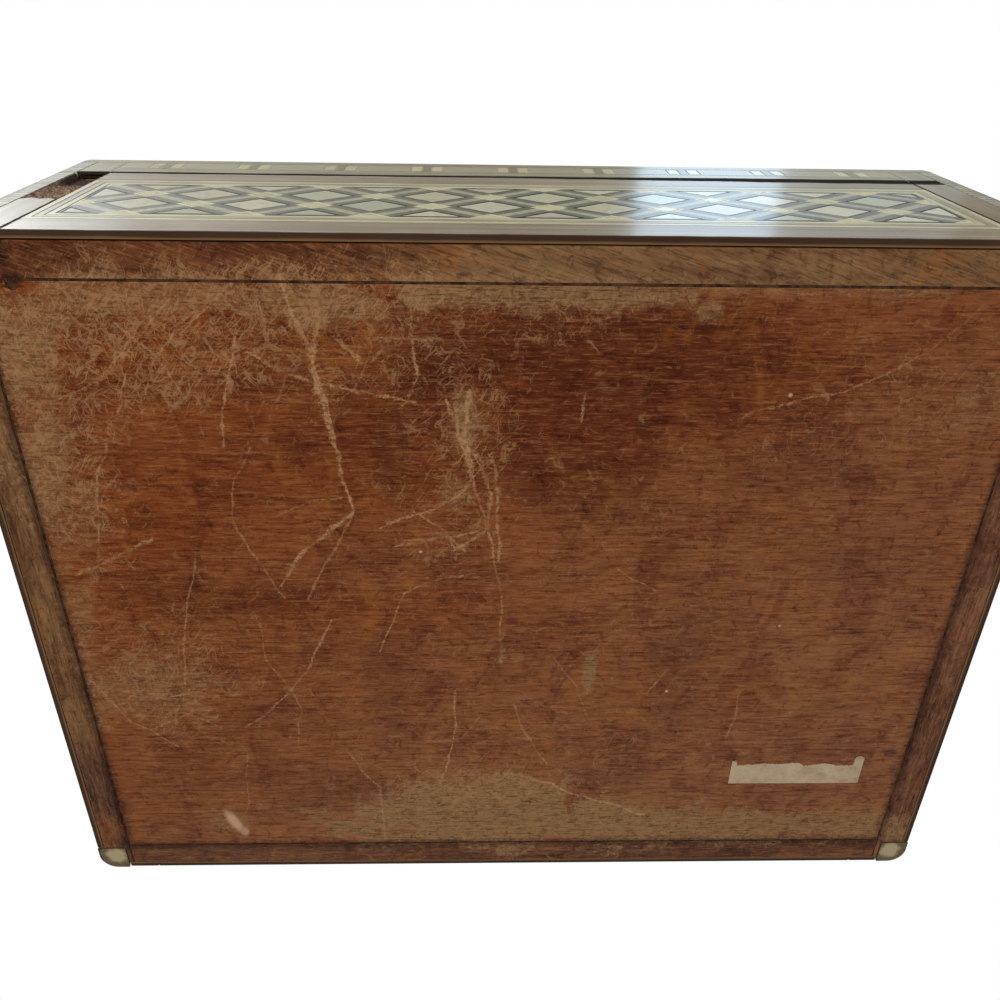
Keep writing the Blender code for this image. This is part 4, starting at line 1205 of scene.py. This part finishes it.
def torn_wood(material):
    """Rough fibres where the veneer of the front left stile is lost: a closed sheet, hollow at its top."""
    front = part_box("front_border_veneer")[0][1]
    shape = (TORN_ROWS, TORN_COLUMNS)
    rng = np.random.default_rng(11)
    rough = (0.45 * smooth_noise(rng, *shape, 30, 9) + 0.30 * smooth_noise(rng, *shape, 70, 24)
             + 0.25 * rng.random(shape))
    x = np.linspace(TORN_LEFT, TORN_RIGHT, TORN_COLUMNS)[None, :]
    z = np.linspace(TORN_LOW, TORN_HIGH, TORN_ROWS)[:, None]
    sunk = eased(np.clip((z - HOLLOW_START) / HOLLOW_RISE, 0, 1))
    beside = np.clip((x - TORN_LEFT) / TORN_SIDE_SLOPE, 0, 1)
    depth = TORN_LEVEL + (1 - rough) * TORN_FIBRE + sunk * (HOLLOW_DEPTH + (rough - 0.5) * HOLLOW_FIBRE)
    depth = TORN_SHALLOWEST + (depth - TORN_SHALLOWEST) * beside
    depth = np.clip(depth, TORN_SHALLOWEST, TORN_DEEPEST)
    vertices = [(x[0, i], front + level[j, i], z[j, 0]) for level in (np.full(shape, TORN_BACK), depth)
                for j in range(TORN_ROWS) for i in range(TORN_COLUMNS)]
    return mesh_object("torn_wood", vertices, double_grid_faces(*shape), material, "body")


def label_remnant(material):
    """What is left of a paper label: torn along its upper edge, with a taller tab at the right."""
    rng = np.random.default_rng(5)
    nibbles = (smooth_noise(rng, 2, LABEL_STEPS + 1, 1, 16)[0] - 0.5) * LABEL_NIBBLE
    straight = []
    torn = []
    for index in range(LABEL_STEPS + 1):
        x = LABEL_LEFT + (LABEL_RIGHT - LABEL_LEFT) * index / LABEL_STEPS
        tear = LABEL_TORN_EDGE + nibbles[index] + rng.normal(0, LABEL_FRAY)
        if x < LABEL_NOTCH_RIGHT:
            tear = LABEL_NOTCH_EDGE + rng.normal(0, LABEL_FRAY)
        if x > LABEL_TAB_LEFT:
            off_middle = (x - (LABEL_TAB_LEFT + LABEL_RIGHT) / 2) / (LABEL_RIGHT - LABEL_TAB_LEFT) * 2
            tear = LABEL_TAB_EDGE + LABEL_TAB_ROUND * off_middle * off_middle
        straight.append((x, LABEL_STRAIGHT_EDGE))
        torn.append((x, tear))
    vertices = [(x, y, z) for z in (-LABEL_THICKNESS, -LABEL_GAP) for x, y in straight + torn]
    return mesh_object("label_remnant", vertices, double_grid_faces(2, LABEL_STEPS + 1), material, "body")


def padded_sheet(name, corner, across, up, size, depth, material, body, fill):
    """A closed flat pad on a grid: its back and edges stay, and its face is free to swell."""
    normal = across.cross(up)
    columns = max(8, round(size[0] / PAD_STEP))
    rows = max(6, round(size[1] / PAD_STEP))
    vertices = []
    held = []
    for level in (0, 1):
        for j in range(rows + 1):
            for i in range(columns + 1):
                edge = i in (0, columns) or j in (0, rows)
                inset = PAD_ROUND if level and edge else 0.0
                a = size[0] * i / columns + inset * ((i == 0) - (i == columns))
                b = size[1] * j / rows + inset * ((j == 0) - (j == rows))
                lift = depth * level * (PAD_EDGE_SHARE if edge else 1.0)
                if edge or not level:
                    held.append(len(vertices))
                vertices.append(corner + across * a + up * b + normal * lift)
    faces = double_grid_faces(rows + 1, columns + 1)
    pad = mesh_object(name, vertices, faces, material, body, smooth=True)
    pad.vertex_groups.new(name="held").add(held, 1.0, "REPLACE")
    return pad


def swell(pads):
    """Cloth with air in it, run on every pad at once; its shape is kept and the cloth taken off."""
    flat = {}
    for pad in pads:
        cloth = pad.modifiers.new("cloth", "CLOTH")
        settings = cloth.settings
        settings.quality = 6
        settings.mass = 0.15
        settings.tension_stiffness = 12
        settings.compression_stiffness = 12
        settings.bending_stiffness = 0.4
        settings.use_pressure = True
        settings.uniform_pressure_force = PAD_PRESSURE
        settings.vertex_group_mass = "held"
        settings.effector_weights.gravity = 0.0
        cloth.point_cache.frame_start = 1
        cloth.point_cache.frame_end = PAD_FRAMES
        flat[pad.name] = np.array([v.co[:] for v in pad.data.vertices])
    scene = bpy.context.scene
    for number in range(1, PAD_FRAMES + 1):
        scene.frame_set(number)
    graph = bpy.context.evaluated_depsgraph_get()
    for pad in pads:
        result = pad.evaluated_get(graph).to_mesh()
        moved = np.array([v.co[:] for v in result.vertices])
        pad.evaluated_get(graph).to_mesh_clear()
        pad.modifiers.remove(pad.modifiers["cloth"])
        step = moved - flat[pad.name]
        reach = np.linalg.norm(step, axis=1).max()
        share = min(1.0, PAD_RISE / reach) if reach > 0 else 0.0
        for vertex, place in zip(pad.data.vertices, flat[pad.name] + step * share):
            vertex.co = place
    scene.frame_set(1)


def line_with_velvet(material):
    """Velvet pads on the floor, the four walls and under the lid, in place of the plain linings."""
    low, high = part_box("body_lining")
    lid_low, lid_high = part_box("lid_lining")
    foot = LINING_FLOOR_TOP - PAD_TUCK
    inner_y = high[1] - LINING_THICKNESS + PAD_TUCK
    across = Vector((1, 0, 0))
    back = Vector((0, 1, 0))
    up = Vector((0, 0, 1))
    wide = high[0] - low[0]
    wall = high[2] - foot
    plans = (
        ("floor_pad", (low[0], low[1], low[2]), across, back, (wide, high[1] - low[1]), 0.5),
        ("rear_wall_pad", (low[0], high[1], foot), across, up, (wide, wall), 0.4),
        ("front_wall_pad", (high[0], low[1], foot), -across, up, (wide, wall), 0.4),
        ("left_wall_pad", (low[0], -inner_y, foot), back, up, (2 * inner_y, wall), 0.4),
        ("right_wall_pad", (high[0], inner_y, foot), -back, up, (2 * inner_y, wall), 0.4),
    )
    body_pads = [
        padded_sheet(name, Vector(corner), *directions, size, LINING_THICKNESS, material, "body", fill)
        for name, corner, *directions, size, fill in plans]
    lid_pad = padded_sheet("lid_pad", Vector((lid_low[0], lid_high[1], lid_high[2])), across, -back,
                           (lid_high[0] - lid_low[0], lid_high[1] - lid_low[1]), lid_high[2] - lid_low[2],
                           material, "lid", 0.6)
    pads = body_pads + [lid_pad]
    swell(pads)
    for pad in body_pads:
        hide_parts("body_lining")
    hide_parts("lid_lining")
    for pad in pads:
        pad.modifiers.new("finer", "SUBSURF").render_levels = 1


def weld(name):
    NODES[name].modifiers.new("weld", "WELD").merge_threshold = WELD_DISTANCE


def soften(names):
    """Slightly rounded edges on nodes, as a modifier."""
    for name in names:
        weld(name)
        bevel = NODES[name].modifiers.new("soft_edges", "BEVEL")
        bevel.width = SOFT_EDGE
        bevel.segments = 2
        bevel.limit_method = "ANGLE"
        bevel.angle_limit = math.radians(SOFT_EDGE_ANGLE)


def slot_screws():
    """A slot across each screw head, cut by a hidden box that rides with the screw."""
    metal = NODES["hinge_left_pin"].data.materials[0]
    for number, name in enumerate(sorted(n for n in NODES if "_screw_" in n)):
        low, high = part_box(name)
        head = Vector(((low.x + high.x) / 2, high.y, (low.z + high.z) / 2))
        turn = Matrix.Rotation(math.radians(SLOT_TURN + SLOT_TURN_STEP * number), 3, "Y")
        half = Vector(((high.x - low.x) * 0.6, SLOT_DEPTH, SLOT_WIDTH / 2))
        corners = [head + turn @ corner for corner in box_corners(-half, half)]
        body = "lid" if "_lid_" in name else "body"
        cutter = mesh_object("cutter_" + name, corners, BOX_FACES, metal, body)
        cutter.hide_render = True
        cutter.hide_viewport = True
        weld(name)
        cut = NODES[name].modifiers.new("slot", "BOOLEAN")
        cut.operation = "DIFFERENCE"
        cut.object = cutter
        cut.solver = "EXACT"


# Stage, lights and camera


def make_world():
    """White to the eye; in reflections white at eye level and greyer overhead and below."""
    world = bpy.data.worlds.new("studio")
    bpy.context.scene.world = world
    world.use_nodes = True
    tree = Tree(world.node_tree)
    background = tree.nodes["Background"]
    path = tree.nodes.new("ShaderNodeLightPath")
    direct, glossy, through = [Wire(tree, path.outputs["Is %s Ray" % kind])
                               for kind in ("Camera", "Glossy", "Transmission")]
    _, _, height = tree.axes(tree.node("ShaderNodeTexCoord", "Generated"))
    mirrored = MIRROR_BELOW + (MIRROR_LEVEL - MIRROR_BELOW) * tree.smooth(height, -0.45, -0.05)
    mirrored = mirrored - (MIRROR_LEVEL - MIRROR_ABOVE) * tree.smooth(height, 0.15, 0.45)
    white = tree.clamp(direct + through)
    level = glossy * mirrored + (1.0 - glossy) * AMBIENT
    tree.put(white + (1.0 - white) * level, background.inputs["Strength"])
    tree.put(tree.mix(glossy, WHITE, WARM), background.inputs["Color"])


def make_floor():
    """A pale floor that shows from above, with the box's shadow; light and the view from below pass it."""
    ends = (-FLOOR_HALF, FLOOR_HALF)
    mesh = bpy.data.meshes.new("floor")
    mesh.from_pydata([(x, y, FLOOR_LEVEL) for y in ends for x in ends], [], [(0, 1, 3, 2)])
    floor = bpy.data.objects.new("floor", mesh)
    bpy.context.scene.collection.objects.link(floor)
    material = bpy.data.materials.new("floor_paint")
    material.use_nodes = True
    tree = Tree(material.node_tree)
    tree.nodes.clear()
    direct = tree.node("ShaderNodeLightPath", "Is Camera Ray")
    behind = tree.node("ShaderNodeNewGeometry", "Backfacing")
    distance = tree.vector_math("LENGTH", tree.place(), output=1)
    near = tree.smooth(distance, FLOOR_FADE_END, FLOOR_FADE_START)
    mixed = tree.nodes.new("ShaderNodeMixShader")
    tree.put(direct * (1.0 - behind) * near, mixed.inputs[0])
    tree.put(tree.node("ShaderNodeBsdfTransparent"), mixed.inputs[1])
    tree.put(tree.node("ShaderNodeBsdfDiffuse", Color=FLOOR_COLOUR), mixed.inputs[2])
    output = tree.nodes.new("ShaderNodeOutputMaterial")
    tree.links.new(mixed.outputs[0], output.inputs["Surface"])
    mesh.materials.append(material)


def make_lights():
    """A big soft lamp above the front left, a window overhead, and a soft fill for the underside."""
    for name, (place, target, size, power, colour) in LAMPS.items():
        data = bpy.data.lights.new(name, "AREA")
        data.shape = "RECTANGLE"
        data.size, data.size_y = size
        data.energy = power
        data.color = colour
        lamp = bpy.data.objects.new(name, data)
        bpy.context.scene.collection.objects.link(lamp)
        lamp.location = place
        lamp.rotation_euler = (Vector(target) - Vector(place)).to_track_quat("-Z", "Y").to_euler()
        lamp.visible_camera = False
        lamp.visible_glossy = name != "under_fill"


def make_camera():
    data = bpy.data.cameras.new("camera")
    data.sensor_width = SENSOR
    data.lens = LENS
    data.clip_start = CLIP_NEAR
    data.clip_end = CLIP_FAR
    camera = bpy.data.objects.new("camera", data)
    bpy.context.scene.collection.objects.link(camera)
    turn = Matrix((LOOK_RIGHT, LOOK_UP, LOOK_BACK)).transposed().to_4x4()
    camera.matrix_world = Matrix.Translation(EYE) @ turn
    bpy.context.scene.camera = camera


# All together


def dress_base():
    marks = marks_group()
    dress(["base_panel"], base_wood("worn_base", 0, panel_ground, marks))
    dress(["front_board"], base_wood("front_board_wood", 0, front_board_ground, marks, wear=0.06, seed=3.0,
                                     lean=18.0, hatching=1.15))
    dress(["left_board"], base_wood("left_board_wood", 1, left_board_ground, marks, wear=-0.12, seed=6.0,
                                    hatching=0.45))
    dress(["right_board"], base_wood("right_board_wood", 1, even_ground(RIGHT_RED), marks, seed=9.0))
    dress(["rear_board"], base_wood("rear_board_wood", 0, even_ground(REAR_BROWN), marks, seed=12.0))


def dress_sides():
    for side in INLAID_SIDES:
        bands = side + "_lattice_bands"
        tiles = side + "_lattice_tiles"
        blocks = side + "_rim_blocks"
        dress([side + "_stringing"], stringing_material(side + "_stringing", side))
        dress([bands], lattice_bands_material(bands, side))
        dress([tiles], lattice_tiles_material(tiles, side, bands))
        dress([blocks], scattered_tiles_material(blocks, 90, 0.0, side))
    for side in ("front", "rear", "left", "right"):
        dress([side + "_border_veneer"], border_material(side))
        dress([side + "_rim_veneer"], rim_material(side))
    field = plain_wood("rear_field_wood", 0, FIELD_TAN, FIELD_BROWN, 0.36, 7.0, 0.5, 0.4)
    dress(["rear_field_veneer"], field)


def dress_lid():
    rails = plain_wood("lid_rail_wood", 0, RAW_LIGHT, RAW_DARK, 0.7, 2.0, 0.3)
    end_rails = plain_wood("lid_end_rail_wood", 1, RAW_LIGHT, RAW_DARK, 0.7, 4.0, 0.3)
    centre = plain_wood("top_centre_wood", 0, FIELD_TAN, FIELD_BROWN, 0.34, 8.0, 0.5, 0.5)
    band = plain_wood("top_band_wood", 0, BAND_GREY, BAND_DARK, 0.34, 9.0, 0.5, 0.5, 0.5)
    dress(["lid_front_rail", "lid_rear_rail"], rails)
    dress(["lid_left_rail", "lid_right_rail"], end_rails)
    dress(["lid_panel"], lid_material())
    dress(["top_centre_veneer"], centre)
    dress(["top_diamond_band"], band)
    dress(["top_stringing"], stringing_material("top_stringing", "top"))
    dress(["top_band_tiles"], scattered_tiles_material("top_band_tiles", 95, 0.6))
    dress(["top_star"], scattered_tiles_material("top_star", 60, 0.7))


def add_pieces():
    rim_glue = gap_material("rim_glue", RIM_BROWN, LINE_GREY, 900, 0.45)
    for side in INLAID_SIDES:
        lattice_glue = gap_material(side + "_lattice_glue", GLUE, BAND_DARK, 1200, 0.45, side)
        glue_sheet(side + "_lattice_glue_sheet", side + "_lattice_bands", side, "body", lattice_glue)
        glue_sheet(side + "_rim_glue_sheet", side + "_rim_blocks", side, "lid", rim_glue)
    glue = gap_material("dark_glue", GLUE, BAND_DARK, 1200, 0.5)
    glue_sheet("top_centre_glue_sheet", "top_centre_veneer", "top", "lid", glue)
    glue_sheet("top_band_glue_sheet", "top_diamond_band", "top", "lid", glue)
    base_seam_dirt(packed_dirt_material())
    torn_wood(torn_wood_material())
    label_remnant(paper_material())
    line_with_velvet(velvet_material())
    slot_screws()


bpy.context.scene.view_settings.view_transform = "Standard"
dress_base()
dress_sides()
dress_lid()
dress([name for name in NODES if name.endswith("_post")], post_material())
dress([name for name in NODES if name.startswith("hinge_")], brass_material())
soften(["base_panel", "front_board", "rear_board", "left_board", "right_board"])
add_pieces()
make_world()
make_floor()
make_lights()
make_camera()
